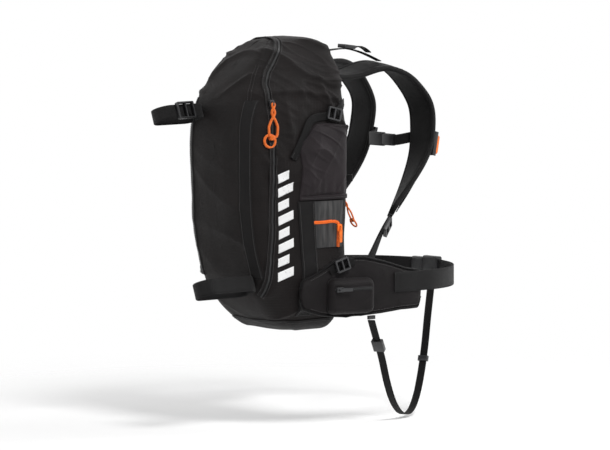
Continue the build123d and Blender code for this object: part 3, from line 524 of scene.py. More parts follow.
def woven(name, slot, colour, thread=0.0007, rib=0.0, roughness=0.62, sheen=0.045, depth=0.00014):
    """Plain woven cloth: warp and weft as two sets of waves on the piece's UV map, in metres,
    faded in patches and slubbed at the scale of a few threads. `rib` is the pitch of ripstop."""
    finish = Finish(name, slot, Sheen_Weight=sheen, Sheen_Roughness=0.4, Specular_IOR_Level=0.13)
    across, along, _ = finish.apart(finish.place("UV"))
    pace = 2 * np.pi / thread
    weave = (across * pace).sine() * (along * pace).sine()
    slub = finish.noise(0.0022, 4.0)
    cloud = finish.noise(0.055, 3.0)
    cloth_height = weave * 0.5 + slub * 1.2
    shade = cloud.rise(0.3, 0.75) * 0.6 + slub * 0.4 + weave * 0.08
    if rib:
        ribs = [abs((line * (np.pi / rib)).sine()) ** 40.0 for line in (across, along)]
        ripstop = ribs[0].maths("MAXIMUM", ribs[0], ribs[1])
        cloth_height = cloth_height + ripstop * 1.6
        shade = shade + ripstop * 0.35
    finish.feed(
        Base_Color=finish.mix(shade, tint(colour, 0.62), tint(colour, 1.45)),
        Roughness=cloud * 0.16 + (roughness - 0.08),
    )
    return finish.emboss(cloth_height, depth)


NEAR_BLACK = (0.0060, 0.0045, 0.0044)
shell_cloth = woven("ripstop_black", "black_fabric", NEAR_BLACK, rib=0.0052, roughness=0.56)

ZIP_HALF_GAP = 0.0032
ROWS_UP, ROWS_DOWN, MAIN_COLUMNS, FRONT_COLUMNS = 120, 130, 105, 86
eased_up = 1 - (1 - np.linspace(0, 1, ROWS_UP)) ** 2.2
eased_down = 1 - (1 - np.linspace(0, 1, ROWS_DOWN)) ** 1.7
foot_f = float(height_share(np.array(ZIP_FOOT_Z)))
levels = np.unique(np.r_[-eased_down, eased_up, foot_f])[:, None]
opened = smooth(height(levels), ZIP_FOOT_Z - 0.001, ZIP_FOOT_Z + 0.006)
rear_t = side_t(zip_depth(height(levels)) - ZIP_HALF_GAP * opened, levels)
fore_t = side_t(zip_depth(height(levels)) + ZIP_HALF_GAP * opened, levels)
split_t = side_t(zip_depth(np.maximum(height(levels), ZIP_FOOT_Z)), np.maximum(levels, foot_f))
rear_t = np.where(levels > foot_f, rear_t, split_t)
fore_t = np.where(levels > foot_f, fore_t, split_t)
girth_round = 0.44          # half the bag's girth, for the weave's scale
EDGE_FOLD = np.array([-0.0006, -0.0026])


def shell_grid(first, last, columns, rows, side, fold_at_end):
    """Cloth between two places round the bag, its edge folded in along the zip."""
    shares = np.linspace(0, 1, columns)
    t = first + (last - first) * shares
    if fold_at_end:
        t = np.c_[t, t[:, -1:], t[:, -1:]]
        lift = np.r_[np.zeros(columns), EDGE_FOLD]
    else:
        t = np.c_[t[:, :1], t[:, :1], t]
        lift = np.r_[EDGE_FOLD[::-1], np.zeros(columns)]
    f = np.broadcast_to(levels[rows], t.shape)
    lifts = lift * smooth(height(f), ZIP_FOOT_Z, ZIP_FOOT_Z + 0.01)
    points = wall(t, f, lifts, side)
    uv = np.stack([t * girth_round * side, height(f)], -1)
    return grid(points, uv, turned=side > 0)


whole = slice(None)
below = levels[:, 0] <= foot_f
above = levels[:, 0] >= foot_f
main_parts, front_parts = [], []
for side in (1, -1):
    main_parts.append(shell_grid(np.zeros_like(rear_t), rear_t, MAIN_COLUMNS, whole, side, True))
    for rows, first, parts in ((below, split_t, main_parts), (above, fore_t, front_parts)):
        start = first[rows]
        parts.append(shell_grid(start, np.ones_like(start), FRONT_COLUMNS, rows, side, False))
made_piece("main_shell_cloth", main_parts, shell_cloth, replaces=["main_shell"])
made_piece("front_shell_cloth", front_parts, shell_cloth, replaces=["front_shell"])

# --- Front zip ---
# A coil zip on woven tape opens the bag from foot to foot over the crown. A folded welt of the
# shell's cloth is stitched down along each side of it. Behind it a sheet divides the bag.
def unit(vectors):
    """Directions: vectors divided by their length."""
    return vectors / np.maximum(np.linalg.norm(vectors, axis=-1, keepdims=True), 1e-12)


class Track:
    """A line on which a strap, seam or cord is laid, with directions along, across and out of it.
    They are square to each other: out is the cross product of across and along."""

    def __init__(self, points, across=None, out=None):
        self.points = points
        self.along = unit(np.gradient(points, axis=0))
        if out is not None:
            across = np.cross(self.along, out)
        lean = np.sum(across * self.along, -1, keepdims=True)
        self.across = unit(across - self.along * lean)
        self.out = np.cross(self.across, self.along)
        self.run = np.r_[0, np.cumsum(np.linalg.norm(np.diff(points, axis=0), axis=1))]

    def at(self, runs):
        """The track at these distances from its start."""
        cut = object.__new__(Track)
        cut.run = np.asarray(runs, float)
        for name in ("points", "along", "across", "out"):
            columns = getattr(self, name).T
            setattr(cut, name, np.stack([np.interp(cut.run, self.run, c) for c in columns], -1))
        return cut

    def even(self, pitch, start=0.0, end=0.0):
        """The track at even steps, from `start` past its beginning to `end` short of its end."""
        reach = self.run[-1] - end - start
        return self.at(start + np.linspace(0, reach, max(2, int(round(reach / pitch)) + 1)))

    def beside(self, across, out):
        """Points that lie `across` and `out` from the track, a row for each of its points."""
        sideways = self.across[:, None] * np.asarray(across)[..., None]
        return self.points[:, None] + sideways + self.out[:, None] * np.asarray(out)[..., None]

    def moved(self, across=0.0, out=0.0):
        """The same track, moved sideways and outwards."""
        return Track(self.points + self.across * across + self.out * out, across=self.across)


def carried(track, across, out):
    """A closed profile carried along a track. Its two ends are drawn together and closed."""
    rows = len(track.points)
    across, out = (np.broadcast_to(v, (rows, np.shape(v)[-1])) for v in (across, out))
    points = track.beside(across, out)
    first, last = points[:1], points[-1:]
    ends = [np.broadcast_to(row.mean(1, keepdims=True), row.shape) for row in (first, last)]
    points = np.concatenate([ends[0], first, points, last, ends[1]])
    middle = np.c_[across[rows // 2], out[rows // 2]]
    steps = np.linalg.norm(np.diff(middle, axis=0, append=middle[:1]), axis=1)
    round_it = np.r_[0, np.cumsum(steps)]
    run = np.r_[track.run[0], track.run[0], track.run, track.run[-1], track.run[-1]]
    uv = np.stack(np.broadcast_arrays(round_it, run[:, None]), -1)
    return grid(points, uv, ring=True)


def taped(track, profile):
    """A folded tape or welt along a track. Its profile is given in millimetres."""
    return carried(track, *np.transpose(profile) / 1000)


def oval(half_across, half_out, sides=8):
    """An oval profile for `carried`: the cosine and sine of evenly spaced angles."""
    turn = np.linspace(0, 2 * np.pi, sides, endpoint=False)
    return half_across * np.cos(turn), half_out * np.sin(turn)


def bead(long, wide, high, sides=5):
    """A small rounded bar along its second axis: rings of size 0, 1, 1 and 0."""
    turn = np.linspace(0, 2 * np.pi, sides, endpoint=False)
    size = np.array([0, 1, 1, 0])[:, None]
    place = np.array([-0.5, -0.32, 0.32, 0.5])[:, None] * long
    across, out = size * np.cos(turn) * wide / 2, size * np.sin(turn) * high / 2
    shape = np.stack(np.broadcast_arrays(across, place, out), -1)
    points, quads, _ = grid(shape, ring=True)
    return points, quads


def repeated(shape, quads, track):
    """One small shape copied to each of a track's points. Its axes are across, along and out."""
    axes = np.stack([track.across, track.along, track.out], 1)
    points = track.points[:, None] + np.einsum("ka,nab->nkb", shape, axes)
    faces = (quads + (np.arange(len(track.points)) * len(shape))[:, None, None]).reshape(-1, 4)
    marks = np.repeat(track.run, len(quads))[:, None, None] * np.ones((1, 4, 2))
    return points.reshape(-1, 3), faces, marks


STITCH_PITCH = 0.0036
stitch_shape, stitch_quads = bead(0.0027, 0.0008, 0.0007)


def stitched(track, across=0.0, out=0.0004, start=0.002, end=0.002):
    """A row of stitches beside a track."""
    return repeated(stitch_shape, stitch_quads, track.moved(across, out).even(STITCH_PITCH, start, end))


def coil(track, width, pitch=0.0016, high=0.0011):
    """A zip's coil: a rounded bar across the track at every turn of the spiral."""
    points, quads = bead(width, pitch * 0.86, high)
    return repeated(points[:, [1, 0, 2]], quads, track.even(pitch))


def thread(name, colour):
    """Polyester thread, twisted: fine dark lines across it."""
    finish = Finish(name, "black_webbing", Roughness=0.55, Sheen_Weight=0.2)
    twist = finish.noise(0.0006, 1.0)
    return finish.feed(Base_Color=finish.mix(twist, tint(colour, 0.6), tint(colour, 1.2)))


def coil_finish(name, slot, colour):
    """Nylon coil: glossy, its turns a little darker in worn patches."""
    finish = Finish(name, slot, Specular_IOR_Level=0.5)
    wear = finish.noise(0.009, 4.0)
    finish.feed(
        Base_Color=finish.mix(wear, tint(colour, 0.72), tint(colour, 1.15)),
        Roughness=wear * 0.2 + 0.28,
    )
    return finish.emboss(finish.noise(0.0008, 2.0), 0.00006)


black_thread = thread("thread_black", (0.012, 0.011, 0.0115))
grey_thread = thread("thread_grey", (0.018, 0.017, 0.0175))
black_coil = coil_finish("coil_black", "black_coil", (0.016, 0.016, 0.017))
orange_coil = coil_finish("coil_orange", "orange_coil", (1.0, 0.20, 0.02))
welt_cloth = woven("welt_cloth", "black_fabric", (0.0062, 0.0050, 0.0051), thread=0.0006, roughness=0.5)
tape_cloth = woven("zip_tape_black", "black_coil", (0.012, 0.0115, 0.012), thread=0.0009, rib=0.0026)

zip_f = foot_f + (1 - foot_f) * (1 - (1 - np.linspace(0, 1, 420)) ** 1.8)
zip_t = side_t(zip_depth(height(zip_f)), zip_f)
zip_sides = [wall(zip_t, zip_f, 0.0, side, facing=True) for side in (1, -1)]
zip_line = np.concatenate([zip_sides[0][0], zip_sides[1][0][::-1][1:]])
zip_out = np.concatenate([zip_sides[0][1], zip_sides[1][1][::-1][1:]])
apart = np.r_[True, np.linalg.norm(np.diff(zip_line, axis=0), axis=1) > 2e-5]
front_zip_track = Track(zip_line[apart], out=zip_out[apart]).even(0.004)
tape_profile = [(-9.0, -1.2), (-3.0, -0.2), (3.0, -0.2), (9.0, -1.2), (0.0, -2.0)]
fore_welt = np.array([(3.1, -1.4), (3.2, 0.9), (4.3, 1.6), (8.6, 1.3), (10.0, 0.5), (10.2, -1.4)]) / 1000
rear_welt = np.array([(3.1, -1.4), (3.2, 0.9), (4.0, 1.5), (5.8, 1.2), (6.6, 0.4), (6.7, -1.4)]) / 1000
front_tape = taped(front_zip_track, tape_profile)
made_piece("front_zip_tape", [front_tape], tape_cloth, replaces=["front_zip"], closed=True)
made_piece("front_zip_coil", [coil(front_zip_track.moved(out=0.0003), 0.0054)], black_coil)
welts, welt_stitches = [], []
for hand, profile, seam in ((-1, fore_welt, 0.0080), (1, rear_welt, 0.0052)):
    welts.append(carried(front_zip_track, hand * profile[:, 0], profile[:, 1]))
    welt_stitches.append(stitched(front_zip_track, hand * seam, 0.0015))
made_piece("front_zip_welts", welts, welt_cloth, closed=True)
divider_f = np.linspace(foot_f, float(height_share(np.array(0.255))), 60)
divider_depth = zip_depth(height(divider_f)) - 0.004
divider_ends = [wall(side_t(divider_depth, divider_f), divider_f, -0.005, side)[:, None] for side in (1, -1)]
divider_share = np.linspace(0, 1, 24)[None, :, None]
divider_grid = grid(divider_ends[0] + (divider_ends[1] - divider_ends[0]) * divider_share)
divider_cloth = coated_cloth("divider_cloth", "liner", (0.16, 0.16, 0.17))
divider = made_piece("divider_cloth_sheet", [divider_grid], divider_cloth, replaces=["divider_panel"])
solidified(divider, 0.0008, 0.0)
made_piece("front_zip_stitching", welt_stitches, grey_thread)

# --- Base, side pockets, windows and seam bands ---
# Tougher coated cloth wraps the base. Each side has a gathered stretch pocket, a grey storm-cloth
# window with an orange coil zip, and a doubled band that stiffens the seam before them.
def hemmed(depth, z, lift, side):
    """Cloth laid on the side over a grid of depths and heights, its rim turned in to the wall."""
    depth, z = np.broadcast_arrays(depth, z)
    depth, z = (np.pad(v, 1, mode="edge") for v in (depth, z))
    inner = (depth.shape[0] - 2, depth.shape[1] - 2)
    lift = np.pad(np.broadcast_to(lift, inner), 1, constant_values=-0.002)
    f = height_share(z)
    uv = np.stack([depth * side, z], -1)
    return grid(wall(side_t(depth, f), f, lift, side), uv, turned=side > 0)


def rim(s, v, width_s, width_v):
    """0 at the border of a unit square, 1 inside, over these widths of its two sides."""
    return smooth(np.minimum(s, 1 - s), 0, width_s) * smooth(np.minimum(v, 1 - v), 0, width_v)


def curve_through(points, count):
    """Evenly spaced points on the natural cubic spline through these points. Its second
    derivatives solve the equations that keep slope and curvature continuous at every point."""
    points = np.asarray(points, float)
    last = len(points) - 1
    knots = np.r_[0, np.cumsum(np.linalg.norm(np.diff(points, axis=0), axis=1))]
    steps = np.diff(knots)
    slopes = np.diff(points, axis=0) / steps[:, None]
    inner = np.arange(1, last)
    system, right = np.eye(last + 1), np.zeros_like(points)
    system[inner, inner - 1] = steps[:-1]
    system[inner, inner] = 2 * (steps[:-1] + steps[1:])
    system[inner, inner + 1] = steps[1:]
    right[inner] = 6 * np.diff(slopes, axis=0)
    bends = np.linalg.solve(system, right)
    s = np.linspace(0, knots[-1], 30 * last + 1)
    i = np.clip(np.searchsorted(knots, s) - 1, 0, last - 1)
    gap = steps[i][:, None]
    before, after = (knots[i + 1] - s)[:, None], (s - knots[i])[:, None]
    curved = (bends[i] * before**3 + bends[i + 1] * after**3) / (6 * gap)
    straight = (points[i] / gap - bends[i] * gap / 6) * before
    dense = curved + straight + (points[i + 1] / gap - bends[i + 1] * gap / 6) * after
    run = np.r_[0, np.cumsum(np.linalg.norm(np.diff(dense, axis=0), axis=1))]
    even = np.linspace(0, run[-1], count)
    return np.stack([np.interp(even, run, column) for column in dense.T], -1)


def wall_track(t, f, lift, side):
    """A track over the bag's wall, `lift` metres off it."""
    points, out = wall(t, f, lift, side, facing=True)
    return Track(points, out=out)


def laid(depths, heights, side=1, lift=0.0, count=160):
    """A track on the side of the bag through points given by their depth and height."""
    line = curve_through(np.c_[depths, heights], count)
    f = height_share(line[:, 1])
    return wall_track(side_t(line[:, 0], f), f, lift, side)


COATED_BLACK, BINDING_BLACK = (0.0056, 0.0050, 0.0052), (0.0040, 0.0037, 0.0039)
STRETCH_GREY = (0.0170, 0.0134, 0.0150)
base_cloth = woven("base_cloth", "black_coated", COATED_BLACK, 0.0010, roughness=0.6, depth=0.00022)
stretch_cloth = woven("stretch_cloth", "stretch_fabric", STRETCH_GREY, 0.0008, roughness=0.6, sheen=0.08)
band_cloth = woven("band_cloth", "black_coated", COATED_BLACK, 0.0007, roughness=0.5)
binding_cloth = woven("binding_black", "black_webbing", BINDING_BLACK, 0.0009, rib=0.0022, roughness=0.6)


def storm_cloth():
    """Thin grey cloth, pale where light catches its upright creases."""
    finish = Finish("storm_cloth_grey", "grey_mesh", Specular_IOR_Level=0.3, Sheen_Weight=0.05)
    stretch = finish.node("ShaderNodeMapping", {}, {"Vector": finish.place(), "Scale": (1.0, 1.0, 0.12)})
    streaks = finish.noise(0.0075, 4.0, at=stretch)
    broad = finish.noise(0.03, 2.0)
    share = streaks.rise(0.36, 0.72) * 0.75 + broad * 0.25
    finish.feed(
        Base_Color=finish.mix(share, (0.012, 0.012, 0.013), (0.062, 0.060, 0.059)),
        Roughness=streaks * 0.3 + 0.35,
    )
    return finish.emboss(streaks, 0.0010)


window_cloth = storm_cloth()
BASE_TOP_Z = -0.247
base_rows, base_columns = 34, 150
base_f = np.linspace(-RIDGE, float(height_share(np.array(BASE_TOP_Z))), base_rows)[:, None]
base_t = np.linspace(0, 1, base_columns)[None, :]
base_lift = np.full((base_rows + 1, 1), 0.0017)
base_lift[-1] = -0.001
base_f = np.r_[base_f, base_f[-1:]]
base_parts, base_stitches = [], []
for side in (1, -1):
    t, f = np.broadcast_arrays(base_t, base_f)
    uv = np.stack([t * girth_round * side, height(f)], -1)
    base_parts.append(grid(wall(t, f, base_lift, side), uv, turned=side > 0))
    edge_t = np.linspace(0.01, 1, 300)
    edge_f = np.full(300, height_share(np.array(BASE_TOP_Z - 0.004)))
    base_stitches.append(stitched(wall_track(edge_t, edge_f, 0.0019, side), 0.0, 0.0002))
made_piece("base_cloth_panel", base_parts, base_cloth, replaces=["base_panel"])
made_piece("base_stitching", base_stitches, grey_thread)

POCKET_REAR, POCKET_FORE, POCKET_FOOT, POCKET_TOP = 0.012, 0.114, -0.022, 0.113
WINDOW_REAR, WINDOW_FORE, WINDOW_FOOT, WINDOW_TOP = 0.022, 0.085, -0.112, -0.025
s, v = np.meshgrid(np.linspace(0, 1, 90), np.linspace(0, 1, 110))
band_top, band_foot, BAND_HALF = np.array((0.101, -0.024)), np.array((0.082, -0.238)), 0.015
for side, hand in ((1, "right"), (-1, "left")):
    top = POCKET_TOP - 0.030 * smooth(s, 0.62, 1.0) + 0.006 * bell(s, 0.45, 0.3)
    depth = POCKET_REAR + (POCKET_FORE - POCKET_REAR) * (s + 0.05 * (0.5 - s) * bell(v, 0.5, 0.35))
    z = POCKET_FOOT + (top - POCKET_FOOT) * v
    full = 0.0095 * np.sin(np.pi * s) ** 0.55 * np.sin(np.pi * np.clip(v * 0.97 + 0.03, 0, 1)) ** 0.45
    gathered = smooth(-v, -0.45, -0.02) * smooth(v, 0, 0.05)
    pleats = ripples(s * 0.094, v * 0.012, 0.0125, 2.0 + side) * 0.0017 * gathered
    drape = creases(depth + 0.5 * z, z * 0.3, 0.07, 0.6 + side) * 0.0012 * rim(s, v, 0.1, 0.1)
    hem = 0.0022 * (1 - smooth(v, 0.055, 0.065)) + 0.0014 * smooth(v, 0.965, 0.975)
    lift = 0.0016 + (full + pleats + drape) * smooth(v, 0.05, 0.10) + hem
    pocket_parts = [hemmed(depth, z, lift, side)]
    made_piece(f"side_pocket_{hand}_cloth", pocket_parts, stretch_cloth, replaces=[f"side_pocket_{hand}"])
    hem_line = laid((0.013, 0.05, 0.112), (-0.0185, -0.0185, -0.0185), side, 0.0042)
    made_piece(f"side_pocket_{hand}_stitching", [stitched(hem_line)], grey_thread)
window_parts, band_parts, side_zip_tapes, side_zip_coils, band_stitches = [], [], [], [], []
for side in (1, -1):
    depth = WINDOW_REAR + (WINDOW_FORE - WINDOW_REAR) * s
    z = WINDOW_FOOT + (WINDOW_TOP - WINDOW_FOOT) * v
    buckled = ripples(depth, z * 0.22, 0.016, 1.4 + side) * 0.0011 * rim(s, v, 0.12, 0.12)
    window_parts.append(hemmed(depth, z, 0.0013 + buckled + 0.0012 * rim(s, v, 0.2, 0.2), side))
    middle = band_foot + (band_top - band_foot) * v[..., None]
    flare = BAND_HALF + 0.002 * v
    band_lift = 0.0022 + 0.0008 * bell(s, 0.08, 0.05) + 0.0008 * bell(s, 0.92, 0.05)
    band_parts.append(hemmed(middle[..., 0] + (s * 2 - 1) * flare, middle[..., 1], band_lift, side))
    for edge in (-0.8, 0.8):
        ends = [band_foot + (edge * 0.015, 0.004), band_top + (edge * 0.017, -0.004)]
        ends.insert(1, (ends[0] + ends[1]) / 2)
        band_stitches.append(stitched(laid(*np.transpose(ends), side, 0.0029)))
    corner = [(0.084, -0.064), (0.058, -0.064), (0.039, -0.0642), (0.0325, -0.0675), (0.031, -0.075)]
    corner += [(0.031, -0.092), (0.031, -0.1115)]
    zip_run = laid(*np.transpose(corner), side, 0.0030, 240)
    side_zip_tapes.append(taped(zip_run, [(-2.9, -1.0), (-2.9, 0.2), (2.9, 0.2), (2.9, -1.0)]))
    side_zip_coils.append(coil(zip_run.moved(out=0.0005), 0.0038, 0.0014, 0.0012))
TAPE_ORANGE = (0.85, 0.16, 0.02)
orange_tape = woven("zip_tape_orange", "orange_coil", TAPE_ORANGE, 0.0008, 0.0024, 0.5, 0.2)
made_piece("window_cloth_panels", window_parts, window_cloth, replaces=["window_panels"])
made_piece("seam_band_cloth", band_parts, band_cloth, replaces=["seam_bands"])
made_piece("seam_band_stitching", band_stitches, grey_thread)
made_piece("side_zip_tape", side_zip_tapes, orange_tape, replaces=["side_zips"], closed=True, sharp=40)
made_piece("side_zip_coil", side_zip_coils, orange_coil)

# --- Printed bars on the right side ---
# A column of slanted bars is screen-printed in white ink behind the front zip.
def ink():
    """Screen-print ink: thin, matt, and a little worn in patches."""
    finish = Finish("white_ink", Specular_IOR_Level=0.4)
    worn = finish.noise(0.004, 6.0)
    finish.feed(Base_Color=finish.mix(worn.rise(0.28, 0.4), (0.55, 0.55, 0.55), (0.86, 0.86, 0.86)))
    return finish.feed(Roughness=worn * 0.2 + 0.45)


white_ink = ink()
PRINT_TOP, PRINT_FOOT, BARS, BAR_SLANT = 0.047, -0.173, 8, 0.012
bar_parts = []
pitch = (PRINT_TOP - PRINT_FOOT - BAR_SLANT) / BARS
s, v = np.meshgrid(np.linspace(0, 1, 14), np.linspace(0, 1, 10))
for number in range(BARS):
    long = 1.0 if number % 2 == 0 else 0.72
    z = PRINT_FOOT + (number + 0.06 + v * 0.62) * pitch + BAR_SLANT * s * long
    fore = 0.1504 + 0.0082 * (z - PRINT_FOOT) / (PRINT_TOP - PRINT_FOOT)
    bar_parts.append(hemmed(fore - 0.0295 * s * long, z, 0.0007, 1))
made_piece("printed_bars", bar_parts, white_ink)

# --- Front strips and corner seams ---
# Two reinforcing strips run down the front, with the corner seams felled beside them.
STRIP_X, STRIP_WIDE, STRIP_FOOT_Z, STRIP_TALL = 0.062, 0.022, -0.168, 0.333
strip_parts, strip_stitches, corner_stitches = [], [], []
s, v = np.meshgrid(np.linspace(0, 1, 12), np.linspace(0, 1, 120))
for side in (1, -1):
    strip_z = STRIP_FOOT_Z + STRIP_TALL * v
    strip_f = height_share(strip_z)
    strip_t = front_t(STRIP_X + STRIP_WIDE * s, strip_f)
    rise = np.where((s == 0) | (s == 1) | (v == 0) | (v == 1), -0.001, 0.0020)
    uv = np.stack([s * STRIP_WIDE, strip_z], -1)
    strip_parts.append(grid(wall(strip_t, strip_f, rise, side), uv, turned=side < 0))
    line_f = height_share(np.linspace(-0.164, 0.161, 160))
    for x in (0.0648, 0.0812):
        strip_stitches.append(stitched(wall_track(front_t(x, line_f), line_f, 0.0021, side)))
    seam_z = np.linspace(-0.135, 0.225, 200)
    seam_f = height_share(seam_z)
    for t in (CORNER_SEAM - 0.0105, CORNER_SEAM + 0.0105):
        corner_stitches.append(stitched(wall_track(np.full(200, t), seam_f, 0.0001, side)))
made_piece("front_strip_cloth", strip_parts, band_cloth, replaces=["front_strips"])
made_piece("front_strip_stitching", strip_stitches, grey_thread)
made_piece("corner_stitching", corner_stitches, black_thread)

# --- Back door, its zip and its pads ---
# The wearer's side is a door of ribbed mesh over foam, zipped all round. Two long foam pads and a
# lumbar pad with spacer-mesh faces are stitched onto it.
def rounded_ring(half_x, half_z, radius, inset, arc=9, run=12):
    """A rounded rectangle drawn in by each inset: the corners' arcs shrink to points, and then the
    sides close in on each other. There is a row of points for each inset."""
    inset = np.asarray(inset, float)[:, None]
    kept = np.maximum(inset, radius)
    r = np.maximum(radius - inset, 0)
    half_run_x, half_run_z = np.maximum(half_x - kept, 0), np.maximum(half_z - kept, 0)
    corners = []
    for quarter, (hand, up) in enumerate(((1, 1), (-1, 1), (-1, -1), (1, -1))):
        turn = np.linspace(0, np.pi / 2, arc) + quarter * np.pi / 2
        x = hand * half_run_x + r * np.cos(turn)
        z = up * half_run_z + r * np.sin(turn)
        corners.append(np.stack([x, z], -1))
    pieces = []
    share = np.linspace(0, 1, run + 2)[None, 1:-1, None]
    for corner, following in zip(corners, corners[1:] + corners[:1]):
        start, end = corner[:, -1:], following[:, :1]
        pieces += [corner, start + (end - start) * share]
    return np.concatenate(pieces, 1)


def pad_shape(middle, half_x, half_z, radius, thick, rounding, crown, shape=None, rows=30):
    """A foam pad on the back wall: rings drawn in from its rim rise along a quarter ellipse and
    then swell slowly to the crown. `shape` adds relief to the face."""
    shorter = min(half_x, half_z)
    inset = shorter * np.linspace(0, 1, rows) ** 1.5
    ring = rounded_ring(half_x, half_z, radius, inset)
    edge = np.clip(inset / rounding, 0, 1)
    face = (thick - crown) * np.sqrt(1 - (1 - edge) ** 2) + crown * np.sin(np.pi / 2 * inset / shorter)
    rise = np.broadcast_to(face[:, None], ring.shape[:2])
    if shape is not None:
        on_face = smooth(inset, rounding * 0.7, rounding * 1.6)[:, None]
        rise = rise + shape(ring[..., 0], ring[..., 1]) * on_face
    ring = np.concatenate([np.zeros_like(ring[:1]), ring[:1], ring])
    rise = np.concatenate([np.zeros((2, rise.shape[1])), rise + 0.0006])
    places = np.stack([middle[0] + ring[..., 0], back_wall + 0.0003 + rise, middle[1] + ring[..., 1]], -1)
    marks = np.stack([places[..., 0], places[..., 2]], -1)
    return grid(places, np.concatenate([marks, marks[:, :1]], 1), ring=True)


def spacer_mesh(name, colour, pitch=0.0032):
    """Knitted spacer mesh: rows of small holes, offset like bricks, on the piece's UV map. The holes are
    sunk, and painted darker as shade inside them.
    """
    finish = Finish(name, "pad_mesh", Specular_IOR_Level=0.12, Sheen_Weight=0.05, Roughness=0.8)
    across, along, _ = finish.apart(finish.place("UV"))
    pace = 2 * np.pi / pitch
    holes = (across * pace).sine() * (along * (pace * 0.62)).sine()
    hole_depth_and_shade = abs(holes).rise(0.35, 0.8)
    slub = finish.noise(0.0016, 3.0)
    # Painted shade: the holes are coloured much darker than the threads, as shade inside them.
    finish.feed(Base_Color=finish.mix(hole_depth_and_shade * 0.8 + slub * 0.2, tint(colour, 1.5), tint(colour, 0.35)))
    return finish.emboss(slub * 0.3 - hole_depth_and_shade, 0.0005)


def swollen(part, sewn, cap, marks_of, voxel=0.005):
    """The cloth over a foam piece, puffed by a cloth simulation: remeshed to even squares, blown
    up by pressure with no gravity, held where `sewn` is true, and moved at most `cap` metres.
    `marks_of` gives each new point its place on the flat cloth."""
    mesh = bpy.data.meshes.new("swelling")
    mesh.from_pydata(part[0].tolist(), [], part[1].tolist())
    cleaned(mesh, 1e-5, 1e-6, True)
    blown = placed("swelling", mesh)
    scene = bpy.context.scene
    squares = blown.modifiers.new("squares", "REMESH")
    squares.mode, squares.voxel_size = "VOXEL", voxel
    depsgraph = bpy.context.evaluated_depsgraph_get()
    blown.data = bpy.data.meshes.new_from_object(blown.evaluated_get(depsgraph))
    blown.modifiers.clear()
    count = len(blown.data.vertices)
    rest = np.empty(count * 3)
    blown.data.vertices.foreach_get("co", rest)
    rest = rest.reshape(-1, 3)
    held = blown.vertex_groups.new(name="sewn")
    held.add(np.flatnonzero(sewn(rest)).tolist(), 1.0, "REPLACE")
    cloth = blown.modifiers.new("cloth", "CLOTH")
    cloth.settings.vertex_group_mass = "sewn"
    cloth.settings.use_pressure = True
    cloth.settings.uniform_pressure_force = 4.0
    cloth.settings.effector_weights.gravity = 0.0
    cloth.point_cache.frame_end = 20
    for step in range(1, 21):
        scene.frame_set(step)
    puffed = blown.evaluated_get(bpy.context.evaluated_depsgraph_get()).to_mesh()
    moved = np.empty(count * 3)
    puffed.vertices.foreach_get("co", moved)
    shift = moved.reshape(-1, 3) - rest
    far = np.maximum(np.linalg.norm(shift, axis=1, keepdims=True), 1e-9)
    points = rest + shift * np.minimum(1, cap / far)
    corners = np.empty(len(blown.data.loops), int)
    blown.data.loops.foreach_get("vertex_index", corners)
    quads = corners.reshape(-1, 4)
    scene.frame_set(1)
    bpy.data.objects.remove(blown)
    return points, quads, marks_of(points)[quads]


def opposite(part):
    """The same surface on the wearer's left, its faces turned back the right way."""
    points, quads, marks = part
    return points * (-1, 1, 1), quads[:, ::-1], marks[:, ::-1]


def rounded_off(piece):
    """One level of subdivision."""
    finer = piece.modifiers.new("finer", "SUBSURF")
    finer.levels = finer.render_levels = 1
    return piece


pad_mesh = spacer_mesh("spacer_mesh_black", (0.015, 0.0145, 0.015))
door_cloth = woven("door_cloth", "black_fabric", (0.0095, 0.0090, 0.0095), thread=0.0011, roughness=0.7)
DOOR_MIDDLE = (DOOR_TOP + DOOR_FOOT) / 2
DOOR_TALL = (DOOR_TOP - DOOR_FOOT) / 2
DOOR_RADIUS = (DOOR_TOP_RADIUS + DOOR_FOOT_RADIUS) / 2


def quilting(x, z):
    """Sewn channels: the cloth sinks along lines 24 mm apart that slope down to the middle."""
    row = (z + 0.35 * np.abs(x)) / 0.024
    return -0.0016 * bell(row - np.round(row), 0.0, 0.10)


door_inset = DOOR_HALF * np.linspace(0, 1, 60)
door_ring = rounded_ring(DOOR_HALF, DOOR_TALL, DOOR_RADIUS, door_inset, arc=12, run=24)
door_rise = -0.0008 + 0.0008 * smooth(door_inset, 0.0, 0.006)[:, None]
door_rise = door_rise + quilting(door_ring[..., 0], door_ring[..., 1])
door_points = np.stack(
    [door_ring[..., 0], back_wall + door_rise - 0.0002, DOOR_MIDDLE + door_ring[..., 1]], -1
)
door_points = np.concatenate([door_points[:1] - (0, 0.004, 0), door_points])
marks = np.stack([door_points[..., 0], door_points[..., 2]], -1)
door_grid = grid(door_points, np.concatenate([marks, marks[:, :1]], 1), ring=True)
made_piece("back_door_cloth", [door_grid], door_cloth, replaces=["back_panel"], closed=True)


def rim_track(middle, half_x, half_z, radius, out_by, off_wall, arc=16, run=24):
    """A closed track `off_wall` from the back wall, `out_by` outside a rounded rectangle."""
    ring = rounded_ring(half_x + out_by, half_z + out_by, radius + out_by, [0.0], arc, run)[0]
    ring = np.r_[ring, ring[:1]]
    depths = np.full(len(ring), back_wall + off_wall)
    places = np.stack([middle[0] + ring[:, 0], depths, middle[1] + ring[:, 1]], -1)
    places = places[np.r_[True, np.linalg.norm(np.diff(places, axis=0), axis=1) > 1e-6]]
    return Track(places, out=np.broadcast_to((0.0, 1.0, 0.0), places.shape))


def round_door(out_by):
    """A closed track round the back door, `out_by` metres outside its outline."""
    return rim_track((0.0, DOOR_MIDDLE), DOOR_HALF, DOOR_TALL, DOOR_RADIUS, out_by, -0.0002, 24, 40)


